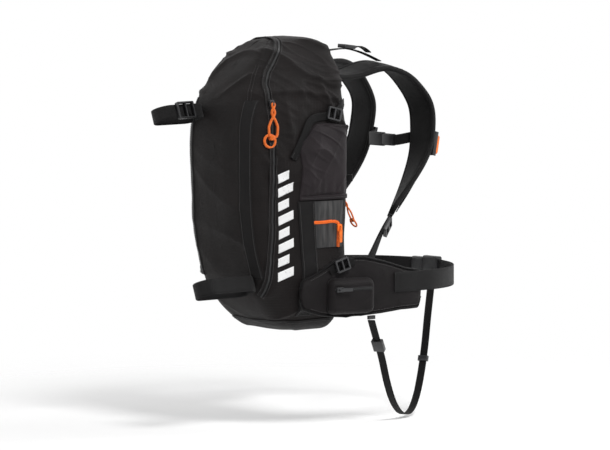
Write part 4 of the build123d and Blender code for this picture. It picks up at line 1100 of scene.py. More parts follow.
back_zip_track = round_door(0.003).even(0.004)
back_tape = taped(back_zip_track, [(-6.5, -2.2), (-3.2, -0.4), (3.2, -0.4), (6.5, -2.2)])
made_piece("back_zip_tape", [back_tape], tape_cloth, replaces=["back_zip"], closed=True)
made_piece("back_zip_coil", [coil(back_zip_track.moved(out=0.0002), 0.0052)], black_coil)
door_seams = [stitched(round_door(-0.004), out=0.0003), stitched(round_door(0.0095), out=-0.0008)]
made_piece("back_door_stitching", door_seams, black_thread)


def pad_channel(x, z):
    """A long pad's moulded channel across its middle and two shallow ones beside it."""
    return -0.0035 * bell(z, 0.0, 0.004) - 0.0020 * (bell(z, 0.062, 0.003) + bell(z, -0.062, 0.003))


def lumbar_channel(x, z):
    """The lumbar pad's upright channel, with two sloping ones that meet it."""
    return -0.0035 * bell(x, 0.0, 0.005) - 0.0020 * bell(np.abs(x) - 0.042 - 0.25 * z, 0.0, 0.003)


def pad_sewn(points):
    """A long pad is held at its rim and along its three channels."""
    z = np.abs(points[:, 2] - 0.027)
    on_channel = (z < 0.003) | (np.abs(z - 0.062) < 0.0025)
    return (points[:, 1] < back_wall + 0.004) | on_channel


def lumbar_sewn(points):
    """The lumbar pad is held at its rim and along its channels."""
    x = np.abs(points[:, 0])
    on_channel = (x < 0.003) | (np.abs(x - 0.042 - 0.25 * (points[:, 2] + 0.158)) < 0.0025)
    return (points[:, 1] < back_wall + 0.004) | on_channel


PAD_THICK = 0.0125
long_pad = ((0.057, 0.027), 0.0345, 0.1185, 0.026)
left_long_pad = ((-0.057, 0.027), *long_pad[1:])
lumbar_pad = ((0.0, -0.158), 0.0835, 0.0515, 0.030)
pad_shape_right = pad_shape(*long_pad, PAD_THICK, 0.009, 0.003, pad_channel, 44)
pad_right = swollen(pad_shape_right, pad_sewn, 0.0038, lambda points: points[:, [0, 2]], 0.0045)
for name, part in (("right", pad_right), ("left", opposite(pad_right))):
    pad = made_piece(f"back_pad_{name}", [part], pad_mesh, replaces=["back_pads"], closed=True)
    rounded_off(pad)
lumbar_shape = pad_shape(*lumbar_pad, PAD_THICK, 0.010, 0.003, lumbar_channel, 50)
lumbar_part = swollen(lumbar_shape, lumbar_sewn, 0.0038, lambda points: points[:, [0, 2]], 0.0045)
lumbar = made_piece("lumbar_pad_mesh", [lumbar_part], pad_mesh, replaces=["lumbar_pad"], closed=True)
rounded_off(lumbar)
pad_rims = [
    carried(rim_track(*pad, 0.001, 0.0012), *oval(0.0017, 0.0016))
    for pad in (long_pad, left_long_pad, lumbar_pad)
]
made_piece("pad_piping", pad_rims, binding_cloth, closed=True)

# --- Side straps and their buckles ---
# A compression strap runs down each side over the pocket, and a stabiliser strap ties the hip wing
# to the bag. Both are flat polyester webbing in moulded ladder locks.
def webbing_finish(name, colour):
    """Flat webbing: fine ribs across it and a tight twill along it, worn paler in patches."""
    finish = Finish(name, "black_webbing", Specular_IOR_Level=0.15, Sheen_Weight=0.06, Sheen_Roughness=0.4)
    across, along, _ = finish.apart(finish.place("UV"))
    ribs = (along * (2 * np.pi / 0.0011)).sine()
    twill = ((across + along * 0.6) * (2 * np.pi / 0.0022)).sine()
    slub = finish.noise(0.0035, 4.0)
    wear = finish.noise(0.03, 3.0)
    share = slub * 0.5 + ribs * 0.10 + twill * 0.06 + wear * 0.4
    finish.feed(
        Base_Color=finish.mix(share, tint(colour, 0.6), tint(colour, 1.6)),
        Roughness=wear * 0.2 + 0.55,
    )
    return finish.emboss(ribs * 0.6 + twill * 0.3 + slub * 0.5, 0.00022)


def webbing(track, width, thick=0.0016):
    """Flat webbing along a track: a thin hexagon with its edges drawn to points."""
    half, deep = width / 2, thick / 2
    flat = np.linspace(half - deep, deep - half, 7)
    across = np.r_[half, flat, -half, -flat]
    out = np.r_[0, np.full(7, deep), 0, np.full(7, -deep)]
    return carried(track, across, out)


def webbing_piece(name, tracks, width, replaces=(), body="pack", thick=0.0016, finish=None):
    """One piece of flat webbing along each of these tracks, black unless told otherwise."""
    parts = [webbing(track, width, thick) for track in tracks]
    return made_piece(name, parts, finish or black_webbing, body, replaces, closed=True, sharp=50)


def eased(node, name, finish, width=0.0006, body="pack"):
    """A moulded CAD piece with its sharp edges rounded: its loose triangles are merged, flat faces
    are joined, and a bevel goes along each edge."""
    mesh = frame["nodes"][node].data.copy()
    mesh.name = name
    merged = bmesh.new()
    merged.from_mesh(mesh)
    bmesh.ops.remove_doubles(merged, verts=merged.verts, dist=1e-6)
    bmesh.ops.dissolve_limit(merged, angle_limit=np.radians(1.0), verts=merged.verts, edges=merged.edges)
    merged.to_mesh(mesh)
    merged.free()
    mesh.materials.clear()
    mesh.materials.append(finish.material)
    mesh.shade_smooth()
    piece = placed(name, mesh)
    bevel = piece.modifiers.new("eased", "BEVEL")
    bevel.width, bevel.segments, bevel.limit_method = width, 2, "ANGLE"
    bevel.angle_limit = np.radians(35)
    bevel.harden_normals = True
    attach(piece, body)
    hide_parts(node)
    return piece


def side_half(depth, z):
    """Half width of the bag's plain side at this depth and height."""
    width, front, back = level(height_share(np.asarray(z, float)))
    return width - width * (1 - FRONT_HALF / HALF_WIDTH) * (depth - back) / (front - back)


def from_wall(points):
    """Points given in millimetres, their second number forward of the bag's back wall."""
    return np.array(points, float) / 1000 + (0, back_wall, 0)


def mirrored(track):
    """The same track on the wearer's left."""
    flip = np.array((-1, 1, 1))
    other = object.__new__(Track)
    other.points, other.along, other.out = track.points * flip, track.along * flip, track.out * flip
    other.across, other.run = track.across * flip, track.run
    return other


SIDE_WEBBING = 0.015
black_webbing = webbing_finish("webbing_black", (0.0044, 0.0041, 0.0043))
grey_plastic = moulded("grey_acetal", "grey_plastic", (0.030, 0.030, 0.032), 0.4)
WING_LIFT = 0.0013 + 0.007
wing_side = ((0.112, -0.198), (0.060, -0.196), (0.010, -0.187))
wing_front = [(side_half(d, -0.150) + WING_LIFT, -d, z) for d, z in wing_side]
wing_rear = [(0.153, 0.030, -0.188), (0.161, 0.070, -0.192), (0.165, 0.110, -0.196), (0.1655, 0.144, -0.198)]
wing_points = np.array(wing_front + wing_rear, float) + (0, back_wall, 0)
wing_track = Track(curve_through(wing_points, 160), across=np.array((0.0, 0.0, -1.0)))
compression_line = [(0.004, 0.155), (0.012, 0.151), (0.033, 0.137), (0.060, 0.131), (0.086, 0.125)]
compression_line += [(0.100, 0.104), (0.127, 0.055)]
strap_tracks, strap_stitches = [], []
for side in (1, -1):
    compression = laid(*np.transpose(compression_line), side, 0.0036)
    strap_tracks.append(compression.even(0.003))
    for spot in (0.006, compression.run[-1] - 0.006):
        tack = compression.at(np.linspace(spot - 0.004, spot + 0.004, 40))
        strap_stitches.append(stitched(tack, 0.0045, 0.0010, 0, 0))
        strap_stitches.append(stitched(tack, -0.0045, 0.0010, 0, 0))
lengths = wing_track.run[-1] * np.array((0.25, 0.31, 0.37, 0.43))
crossing = wing_track.at(lengths)
above = np.array((0.038, 0.043, 0.046, 0.047))[:, None]
stabiliser_points = crossing.points - crossing.across * above + crossing.out * 0.0087
stabiliser = Track(curve_through(stabiliser_points, 40), across=np.array((0.0, 0.0, -1.0)))
strap_tracks += [stabiliser, mirrored(stabiliser)]
webbing_piece("side_strap_webbing", strap_tracks, SIDE_WEBBING, ["side_straps"])
made_piece("side_strap_stitching", strap_stitches, grey_thread)
eased("side_strap_buckles", "side_strap_locks", grey_plastic)

# --- Ski loops ---
# Two loops of stiff webbing on the front carry a pair of skis across it: the upper one closes with
# a ladder lock, and the lower one is a fixed doubled loop.
SKI_TURN = np.radians(19.4)
loop_finish = webbing_finish("loop_webbing", (0.0050, 0.0047, 0.0049))


def ski_loop(middle, long, thick):
    """The track of a flat-sided ring, 50 mm wide, leaning with the skis. Where it would pass
    through the bag it lies on the front instead."""
    sizes = (0.025 - thick / 2, long / 2 - thick / 2, 0.0245 - thick / 2)
    ring = rounded_ring(*sizes, [0.0], arc=14, run=14)[0]
    ring = np.r_[ring, ring[:1]]
    side_of = np.array((np.cos(SKI_TURN), 0, np.sin(SKI_TURN)))
    places = middle + ring[:, :1] * side_of + ring[:, 1:] * (0, 1, 0)
    f = height_share(places[:, 2])
    on_front, facing = wall(front_t(np.abs(places[:, 0]), f), f, 0.0024, 1, facing=True)
    inside = places[:, 1] > on_front[:, 1]
    places[:, 1] = np.where(inside, on_front[:, 1], places[:, 1])
    kept = np.r_[True, np.linalg.norm(np.diff(places, axis=0), axis=1) > 1e-5]
    tilt = np.array((-np.sin(SKI_TURN), 0, np.cos(SKI_TURN)))
    return Track(places[kept], across=tilt)


upper_middle = from_wall((-58, -261, 135))
lower_middle = from_wall((53, -244, -181))
for name, node, middle, long, wide, thick in (
    ("ski_loop_upper_webbing", "ski_strap_upper", upper_middle, 0.108, 0.026, 0.0020),
    ("ski_loop_lower_webbing", "ski_loop_lower", lower_middle, 0.132, 0.030, 0.0030),
):
    webbing_piece(name, [ski_loop(middle, long, thick)], wide, [node], thick=thick, finish=loop_finish)
eased("ski_strap_buckle", "ski_strap_lock", black_plastic)

# --- Haul handle ---
# A webbing loop at the top of the back, folded and sewn into a grip at its middle.
arch_x, arch_rise = 0.0500, 0.0195
arch_radius = (arch_x**2 + arch_rise**2) / (2 * arch_rise)
arch_turn = np.linspace(-np.arcsin(arch_x / arch_radius), np.arcsin(arch_x / arch_radius), 60)
handle_places = np.stack(
    [
        arch_radius * np.sin(arch_turn),
        np.full(60, back_wall + 0.008),
        0.241 + arch_rise - arch_radius + arch_radius * np.cos(arch_turn) - 0.0005,
    ],
    -1,
)
handle_track = Track(handle_places, across=np.array((0.0, -1.0, 0.0)))
folded = smooth(np.abs(handle_places[:, 0]), 0.020, 0.034)[:, None]
flat = np.array(oval(0.0100, 0.0014, 16))[:, None]
grip = np.array(oval(0.0072, 0.0028, 16))[:, None]
handle_part = carried(handle_track, *(grip + (flat - grip) * folded))
made_piece("haul_handle_webbing", [handle_part], black_webbing, "haul_loop", ["haul_handle"], closed=True)
grip_seam = handle_track.at(np.linspace(0.03, handle_track.run[-1] - 0.03, 60))
made_piece("haul_handle_stitching", [stitched(grip_seam, 0.0, 0.0029)], grey_thread, "haul_loop")

# --- Shoulder straps ---
# Two curved straps of foam between mesh and cloth, bound at the edges, with a rail of webbing sewn
# along each. Load lifters and lower webbing tie them to the bag.
strap_points = from_wall(
    [
        (62, -6, 200.5),
        (60, 65, 204),
        (66, 118, 215),
        (72, 170, 201),
        (76, 203, 172),
        (80, 226, 135),
        (84, 227, 100),
        (88, 218, 56),
        (93, 192, 12),
        (98, 162, -24),
        (104, 125, -63),
    ]
)
strap_across = np.array(
    [(1, 0, 0), (1, 0, -0.14), (1, 0, -0.14), (1, 0.05, 0), (1, 0, 0), (0.85, -0.4, 0), (0.66, -0.75, 0)]
)
STRAP_WIDTHS = np.array((62, 64, 64, 62, 56, 46)) / 1000


def spread(values, share):
    """Values at shares of the way along a list of evenly spaced ones."""
    values = np.asarray(values, float)
    places = np.linspace(0, 1, len(values))
    if values.ndim == 1:
        return np.interp(share, places, values)
    return np.stack([np.interp(share, places, column) for column in values.T], -1)


def foam_band(track, widths, thick, crown=0.0, grooves=None, columns=22):
    """A foam strap: a superellipse across it, as wide as given, thick in the middle. The last
    rows shrink along a quarter circle to a rounded end."""
    turn = np.linspace(0, 2 * np.pi, 2 * columns, endpoint=False)
    across = np.sign(np.cos(turn)) * np.abs(np.cos(turn)) ** (2 / 5.0)
    out = np.sign(np.sin(turn)) * np.abs(np.sin(turn)) ** (2 / 2.2)
    half = np.asarray(widths)[:, None] / 2
    u = half * across
    v = thick / 2 * out * np.ones_like(half)
    v = v + crown * (1 - across**2) * np.where(out > 0, 1, 0)
    if grooves is not None:
        v = v + grooves(track.run[:, None] / track.run[-1], across) * np.where(out > 0, 1, 0)
    return carried(track, u, v)


def strap_grooves(run, across):
    """The face sinks a little beside the binding and ripples where the strap bends."""
    bend = bell(run, 0.40, 0.22)
    edge = -0.0012 * (bell(across, 0.80, 0.05) + bell(across, -0.80, 0.05))
    return edge + 0.0009 * np.sin(run * 150) * bend * (1 - across**2)


strap_track = Track(curve_through(strap_points, 260), across=spread(strap_across, np.linspace(0, 1, 260)))
strap_shares = strap_track.run / strap_track.run[-1]
strap_widths = spread(STRAP_WIDTHS, strap_shares)
end_round = np.sqrt(np.clip(1 - ((strap_shares - 0.975) / 0.026) ** 2, 0.05, 1))
strap_widths = strap_widths * np.where(strap_shares > 0.975, end_round, 1)
strap_cloth = woven("strap_cloth", "strap_fabric", (0.0042, 0.0039, 0.0041), thread=0.0008, roughness=0.65)
RAIL_AT, RAIL_WIDTH = 0.004, 0.020


def nearest_share(points, track):
    """For each point, the nearest place on a track: its distance along and across it."""
    gaps = np.linalg.norm(points[:, None] - track.points[None, ::2], axis=-1)
    at = np.argmin(gaps, axis=1) * 2
    return track.run[at], np.sum((points - track.points[at]) * track.across[at], axis=1)


def strap_sewn(points):
    """A shoulder strap is held along its bound edges, its ends and the rail."""
    run, across = nearest_share(points, strap_track)
    half = np.interp(run, strap_track.run, strap_widths) / 2
    at_end = (run < 0.012) | (run > strap_track.run[-1] - 0.012)
    return (np.abs(across) > half - 0.006) | (np.abs(np.abs(across) - 0.010) < 0.003) | at_end


def bound_foam(node, part, finish, line_of, widths, inset, edge_profile, seam):
    """A foam piece in its cloth, puffed and bound along both edges. `inset` is how far a binding
    stands inside the edge, and `seam` how far in its stitches are, where they start, how far
    short they end and how high they lie. Gives the stitches."""
    foam = made_piece(f"{node}_foam", [part], finish, replaces=[node], closed=True)
    rounded_off(foam)
    far_in, start, short, out = seam
    across, rise = edge_profile
    edges, stitches = [], []
    for edge in (1, -1):
        offset = edge * (widths / 2 - inset)[:, None]
        edges.append(carried(line_of, offset + across, rise))
        line = Track(line_of.points + line_of.across * (offset - edge * far_in), out=line_of.out)
        stitches.append(stitched(line.at(np.linspace(start, line.run[-1] - short, 300)), 0.0, out))
    made_piece(f"{node}_binding", edges, binding_cloth, closed=True)
    return stitches


strap_shape = foam_band(strap_track, strap_widths, 0.0105, 0.0004, strap_grooves)
strap_right = swollen(
    strap_shape, strap_sewn, 0.0022, lambda points: np.c_[points[:, 0], points[:, 1] - points[:, 2]]
)
for hand, name in ((strap_track, "right"), (mirrored(strap_track), "left")):
    part = strap_right if name == "right" else opposite(strap_right)
    across, rise = oval(0.0034, 0.0050, 10)
    edge_profile, seam = (across, rise + 0.0002), (0.0042, 0.02, 0.02, 0.0052)
    node = f"shoulder_strap_{name}"
    seams = bound_foam(node, part, strap_cloth, hand, strap_widths, 0.0022, edge_profile, seam)
    rail = hand.at(np.linspace(0.18, hand.run[-1] * 0.97, 120)).moved(across=RAIL_AT, out=0.0074)
    webbing_piece(f"shoulder_strap_{name}_rail", [rail], RAIL_WIDTH)
    for edge in (1, -1):
        seams.append(stitched(rail, edge * 0.0082, 0.0010))
    tacks = np.linspace(0.03, rail.run[-1] - 0.03, 9)
    for tack in tacks:
        place = rail.at([tack])
        cross = place.points + place.across * np.linspace(-0.008, 0.008, 8)[:, None] + place.out * 0.0010
        seams.append(stitched(Track(cross, out=np.broadcast_to(place.out, cross.shape)), 0, 0.0001, 0, 0))
    made_piece(f"shoulder_strap_{name}_stitching", seams, grey_thread)

lifter_points = from_wall([(70, -4, 249), (70, 40, 250.5), (70, 90, 239), (70, 127, 224.2)])
lifter = Track(curve_through(lifter_points, 50), across=np.array((1.0, 0.0, 0.0)))
tail_points = from_wall([(70, 60, 251.5), (69, 70, 253.5), (67, 84, 252), (65, 98, 246), (64, 106, 241)])
lifter_tail = Track(curve_through(tail_points, 30), across=np.array((1.0, 0.1, 0.0)))
lifters = [lifter, mirrored(lifter), lifter_tail, mirrored(lifter_tail)]
webbing_piece("load_lifter_webbing", lifters, SIDE_WEBBING, ["load_lifters"])
eased("load_lifter_buckles", "load_lifter_locks", black_plastic)
lower_points = [(105, 121, -67), (112, 92, -100), (118, 58, -146), (123.5, 26, -176), (129.5, -8, -199)]
lower_points = from_wall(lower_points)
lower_across = spread(((0.66, -0.75, 0), (0.1, -0.6, 0.6), (0, -0.6, 0.6)), np.linspace(0, 1, 80))
lower = Track(curve_through(lower_points, 80), across=lower_across)
webbing_piece("lower_webbing_doubled", [lower, mirrored(lower)], 0.020, ["lower_webbing"], thick=0.0026)
eased("strap_adjusters", "strap_adjuster_locks", grey_plastic)

# --- Sternum strap ---
# Clips that slide on the rails hold 20 mm webbing and a side-release buckle across the chest.
CHEST_WEBBING = 0.020
socket_low, socket_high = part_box("sternum_buckle_female")
_, ribbon_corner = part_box("sternum_webbing_right")
ribbon_end = np.array((0.0323, (socket_low.y + socket_high.y) / 2, 0.070))
ribbon_start = np.array((ribbon_corner.x - 0.0004, ribbon_corner.y - 0.0004, 0.0757))
hand_start, hand_end = ribbon_start + np.array((-0.6, -0.75, -0.1)) * 0.012, ribbon_end + (0.012, 0, 0)
share = np.linspace(0, 1, 40)[:, None]
bezier = (
    ribbon_start * (1 - share) ** 3
    + 3 * hand_start * share * (1 - share) ** 2
    + 3 * hand_end * share**2 * (1 - share)
    + ribbon_end * share**3
)
sternum_track = Track(bezier, across=np.array((0.0, 0.0, 1.0)))
sternum_right = ["sternum_webbing_right"]
right_piece = webbing_piece("sternum_webbing_right_flat", [sternum_track], CHEST_WEBBING, sternum_right, None)
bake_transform(right_piece)
sternum_left, left_track = ["sternum_webbing_left"], mirrored(sternum_track)
webbing_piece("sternum_webbing_left_flat", [left_track], CHEST_WEBBING, sternum_left, "sternum_strap")
eased("sternum_clips", "sternum_rail_clips", black_plastic, body="sternum_strap")
eased("sternum_buckle_female", "sternum_buckle_socket", black_plastic, body="sternum_strap")
eased("sternum_buckle_male", "sternum_buckle_tongue", black_plastic, body="sternum_tongue")

# --- Airbag trigger ---
# An orange moulded handle clips into a black dock on the right shoulder strap.
orange_plastic = moulded("orange_acetal", "orange_plastic", (1.0, 0.20, 0.02), 0.38)
eased("trigger_dock", "trigger_dock_moulding", black_plastic)
eased("trigger_handle", "trigger_handle_moulding", orange_plastic, 0.0012, body="trigger")

# --- Hip belt ---
# Foam wings wrap the hips, with a zipped pocket on each. Wide webbing is sewn to them and meets in
# a side-release buckle in front.
WING_WIDTHS = np.array((52, 84, 110, 110, 96, 78, 70)) / 1000


def wing_grooves(run, across):
    """Soft folds that slope across the wing, and the seam where its foam stops at the hip."""
    folds = creases(run * 0.26 + across * 0.03, across * 0.05, 0.06, 0.8)
    edges = bell(across, 0.86, 0.05) + bell(across, -0.86, 0.05)
    seam = -0.0022 * bell(run, 0.78, 0.008) - 0.0014 * edges
    return 0.0020 * folds * (1 - across**2) + seam


wing_cloth = woven("wing_cloth", "strap_fabric", (0.0078, 0.0064, 0.0068), thread=0.0008, roughness=0.6)
wing_rows = wing_track.at(np.linspace(0, wing_track.run[-1], 220))
wing_shares = wing_rows.run / wing_rows.run[-1]
wing_widths = spread(WING_WIDTHS, wing_shares)
ends = np.minimum(wing_shares / 0.03, (1 - wing_shares) / 0.03)
wing_widths = wing_widths * np.sqrt(np.clip(1 - (1 - np.clip(ends, 0, 1)) ** 2, 0.25, 1))


def wing_sewn(points):
    """A hip wing is held along its bound edges, at its ends and at the seam where its foam stops."""
    run, across = nearest_share(points, wing_rows)
    half = np.interp(run, wing_rows.run, wing_widths) / 2
    seam = np.abs(run / wing_rows.run[-1] - 0.78) < 0.010
    return (np.abs(across) > half - 0.007) | seam | (run < 0.01) | (run > wing_rows.run[-1] - 0.01)


wing_shape = foam_band(wing_rows, wing_widths, 0.0115, 0.0006, wing_grooves, 26)
wing_right = swollen(wing_shape, wing_sewn, 0.0032, lambda points: points[:, [1, 2]])
for hand, name in ((wing_rows, "right"), (mirrored(wing_rows), "left")):
    part = wing_right if name == "right" else opposite(wing_right)
    edge_profile, seam = oval(0.0026, 0.0046, 10), (0.0055, 0.03, 0.01, 0.0062)
    node = f"hip_wing_{name}"
    seams = bound_foam(node, part, wing_cloth, hand, wing_widths, 0.0015, edge_profile, seam)
    made_piece(f"hip_wing_{name}_stitching", seams, grey_thread)

pocket_along = unit(np.array((wing_points[3] - wing_points[1])[:2]))
pocket_out = np.array((pocket_along[1], -pocket_along[0], 0))
pocket_ahead = np.array((pocket_along[0], pocket_along[1], 0))
pocket_middle = (wing_points[1] + wing_points[3]) / 2 * (1, 1, 0) + (0, 0, -0.203) + pocket_out * 0.0079
pocket_parts, pocket_coils, pocket_welts = [], [], []
inset = 0.034 * np.linspace(0, 1, 34) ** 1.4
ring = rounded_ring(0.0478, 0.0338, 0.014, inset, arc=8, run=12)
rise = 0.0172 * (1 - (1 - np.clip(inset / 0.013, 0, 1)) ** 2.2)[:, None] ** 0.6 * np.ones(ring.shape[:2])
rise = rise + ripples(ring[..., 0], ring[..., 1], 0.035, 1.9) * 0.0012 * smooth(inset, 0.006, 0.014)[:, None]
rise = rise - 0.0010 * bell(ring[..., 1], 0.014, 0.004) * smooth(inset, 0.008, 0.012)[:, None]
ring, rise = np.concatenate([ring[:1] * 0, ring[:1], ring]), np.concatenate([rise[:2] * 0, rise])
for side in (1, -1):
    flip = np.array((side, 1, 1))
    places = pocket_middle + ring[..., :1] * pocket_ahead + ring[..., 1:] * (0, 0, 1)
    places = places + rise[..., None] * pocket_out
    uv = np.concatenate([ring, ring[:, :1]], 1)
    pocket_parts.append(grid(places * flip, uv, ring=True))
    run = np.linspace(-0.038, 0.038, 40)[:, None]
    line = pocket_middle + run * pocket_ahead + pocket_out * 0.0178 + (0, 0, 0.014)
    track = Track(line * flip, out=np.broadcast_to(pocket_out * flip, line.shape))
    pocket_coils.append(coil(track, 0.005, 0.0014, 0.0012))
    pocket_profile = [(-5.5, -1.6), (-3.6, 0.1), (3.6, 0.1), (5.5, -1.6)]
    pocket_welts.append(taped(track.moved(out=-0.0003), pocket_profile))
made_piece("hip_pocket_cloth", pocket_parts, wing_cloth, replaces=["hip_pockets"], closed=True)
made_piece("hip_pocket_zip_tape", pocket_welts, tape_cloth, closed=True)
made_piece("hip_pocket_zip_coil", pocket_coils, black_coil)

BELT_WIDTH, BELT_Z, BUCKLE_X, BUCKLE_DEPTH = 0.038, -0.182, 0.0353, 0.315
belt_lengths = wing_track.run[-1] * np.array((0.74, 0.81, 0.88, 0.95))
sewn = wing_track.at(belt_lengths)
belt_points = [(*(p + n * 0.0088)[:2], BELT_Z) for p, n in zip(sewn.points, sewn.out)]
belt_half, belt_reach, belt_middle = 0.1751, 0.158, back_wall + 0.158
for turn in np.radians((2, 14, 28, 43, 58, 70)):
    belt_points.append((belt_half * np.cos(turn), belt_middle + belt_reach * np.sin(turn), BELT_Z))
belt_points.append((BUCKLE_X, back_wall + BUCKLE_DEPTH, BELT_Z))
belt_track = Track(curve_through(np.array(belt_points), 160), across=np.array((0.0, 0.0, 1.0)))
webbing_piece("belt_webbing_right_flat", [belt_track], BELT_WIDTH, ["belt_webbing_right"])
belt_left = ["belt_webbing_left"]
left_belt = webbing_piece("belt_webbing_left_flat", [mirrored(belt_track)], BELT_WIDTH, belt_left, None)
belt_bend = mirrored(belt_track).at([belt_track.run[-1] * 0.45]).points[0]
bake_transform(left_belt)
belt_seams = []
for hand in (belt_track, mirrored(belt_track)):
    sewn_part = hand.at(np.linspace(0.004, 0.050, 60))
    belt_seams += [stitched(sewn_part, 0.0165, 0.0010), stitched(sewn_part, -0.0165, 0.0010)]
made_piece("belt_stitching", belt_seams, grey_thread)
eased("hip_buckle_female", "hip_buckle_socket", black_plastic, 0.0010)
eased("hip_buckle_male", "hip_buckle_tongue", black_plastic, 0.0010, body="hip_tongue")

# --- Zip sliders, cord pulls and side tabs ---
# Die-cast sliders carry knotted orange cords on the front and back zips, and moulded tabs on the
# small ones. Folded webbing tabs sit in the side seams.
slider_metal = moulded("slider_black", "grey_plastic", (0.03, 0.03, 0.032), 0.3)
eased("front_zip_slider", "front_slider_body", slider_metal, 0.0004, body="front_slider")
eased("back_zip_slider", "back_slider_body", slider_metal, 0.0004, body="back_slider")
eased("side_zip_slider", "side_slider_body", orange_plastic, 0.0004, body="side_slider")
eased("hip_pocket_slider", "hip_slider_body", slider_metal, 0.0004, body="pocket_slider")
eased("side_tabs", "side_tab_loops", black_webbing, 0.0010)


def braid(name, colour):
    """Braided cord: strands that cross on the piece's UV map, in metres."""
    finish = Finish(name, "orange_cord", Roughness=0.6, Sheen_Weight=0.15, Specular_IOR_Level=0.3)
    across, along, _ = finish.apart(finish.place("UV"))
    pace = 2 * np.pi / 0.0018
    strands = ((along + across) * pace).sine() * ((along - across) * pace).sine()
    dirt = finish.noise(0.01, 4.0)
    share = abs(strands) * 0.5 + dirt * 0.5
    finish.feed(Base_Color=finish.mix(share, tint(colour, 0.75), tint(colour, 1.05)))
    return finish.emboss(strands, 0.00025)


orange_cord = braid("orange_braid", (1.0, 0.19, 0.015))


def round_cord(places, radius):
    """A round cord through closely spaced points."""
    return carried(Track(places, across=np.array((0.93, 0.31, 0.19))), *oval(radius, radius))


def knotted_pull(eye, down, aside, facing, length, radius, ring_aside):
    """A cord doubled through the slider's eye. Its two strands cross each other twice and open
    into an oval; a knot under it holds a round ring. Each strand's sideways place is a half
    width that grows downwards, times the sine of the angle round the loop."""
    angle = np.linspace(0, 2 * np.pi, 240)
    s = (1 - np.cos(angle)) / 2
    twist = 2 * np.pi * np.clip(s, 0, 0.5) / 0.5
    half = radius * (1.2 + 2.5 * smooth(s, 0.40, 0.72))
    sideways = half * np.tanh(2.2 * np.sin(angle)) * np.cos(twist)
    forward = 0.0011 * np.sin(twist) * np.tanh(3 * np.sin(angle)) + 0.0008
    oval_long = length * 0.76

    def place(along, sideways, forward):
        parts = (along[:, None] * down, sideways[:, None] * aside, forward[:, None] * facing)
        return eye + parts[0] + parts[1] + parts[2]

    oval = place(s * oval_long, sideways, forward)
    ring_half = length * 0.135
    ring_down = length - radius - ring_half * (1 - np.cos(angle))
    ring = place(ring_down, ring_half * np.sin(angle) + ring_aside, 0.0012 * np.cos(angle))
    turns = np.linspace(0, 2.5 * 2 * np.pi, 70)
    knot = place(
        oval_long + 0.0011 * (turns / np.pi - 2.5),
        ring_aside / 2 + radius * 1.5 * np.cos(turns),
        0.0008 + radius * 1.3 * np.sin(turns),
    )
    return [round_cord(line, radius) for line in (oval, ring, knot)]


joints = frame["record"]["behaviour"]["joints"]
eyes = {joint["name"]: np.array(joint["pos_m"]) for joint in joints if "pos_m" in joint}
front_eye, back_eye = eyes["front_pull_swing"], eyes["back_pull_swing"]
low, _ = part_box("front_zip_pull")
front_aside = np.array((0.2166, 0.9763, 0.0))
front_down = np.array((0.0, 0.0, -1.0))
front_face = np.array((0.9763, -0.2166, 0.0))
front_long = front_eye[2] - (low.z + 0.002) + 0.004
front_pull = knotted_pull(front_eye, front_down, front_aside, front_face, front_long, 0.0026, -0.0068)
made_piece("front_pull_cord", front_pull, orange_cord, "front_pull", ["front_zip_pull"], closed=True)
low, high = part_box("back_zip_pull")
back_foot = np.array((high.x - 0.006, high.y - 0.004, low.z + 0.003))
back_down = unit(back_foot - back_eye)
back_aside = unit(np.cross(back_down, (0.2, 1.0, 0.0)))
back_face = np.cross(back_aside, back_down)
back_long = np.linalg.norm(back_foot - back_eye)
back_pull = knotted_pull(back_eye, back_down, back_aside, back_face, back_long, 0.0016, 0.0)
made_piece("back_pull_cord", back_pull, orange_cord, "back_pull", ["back_zip_pull"], closed=True)

# --- Leg strap ---
# Flat 15 mm webbing hangs from the right wing in a long U and hooks to the belt buckle in front.
# Unclipped from the hook, it goes between the legs.
leg_from, leg_to = np.array((0.150, back_wall + 0.035)), np.array((0.015, back_wall + BUCKLE_DEPTH))
leg_route = [
    (0.00, -252), (0.06, -280), (0.17, -325), (0.25, -375), (0.36, -420), (0.50, -446), (0.64, -447),
    (0.75, -420), (0.83, -375), (0.89, -325), (0.93, -275), (0.965, -240), (0.99, -214),
]
leg_curve = bpy.data.curves.new("leg_route", "CURVE")
leg_curve.dimensions, leg_curve.resolution_u = "3D", 16
leg_spline = leg_curve.splines.new("NURBS")
leg_spline.points.add(len(leg_route) - 1)
for knot, (share_along, z) in zip(leg_spline.points, leg_route):
    knot.co = (*(leg_from + (leg_to - leg_from) * share_along), z / 1000, 1.0)
leg_spline.order_u = 3
leg_spline.use_endpoint_u = True
leg_guide = placed("leg_route", leg_curve)
bpy.context.view_layer.update()
leg_mesh = bpy.data.meshes.new_from_object(leg_guide)
leg_line = np.array([vertex.co[:] for vertex in leg_mesh.vertices])
bpy.data.objects.remove(leg_guide)
leg_across = np.array((leg_to[1] - leg_from[1], leg_from[0] - leg_to[0], 0.0))
leg_track = Track(leg_line, across=unit(leg_across))
leg_strap = webbing_piece("leg_strap_webbing", [leg_track], SIDE_WEBBING, ["leg_strap"])
eased("leg_strap_fittings", "leg_strap_hardware", grey_plastic)

# --- Studio ---
# A pale floor that fades into a white surround, soft lamps on both sides, and the camera.
def softbox(name, place, target, size, power):
    """A rectangular lamp that faces a point."""
    lamp = bpy.data.lights.new(name, "AREA")
    lamp.shape = "RECTANGLE"
    lamp.size, lamp.size_y = size
    lamp.energy = power
    held = placed(name, lamp)
    held.location = place
    held.rotation_euler = (Vector(target) - Vector(place)).to_track_quat("-Z", "Y").to_euler()


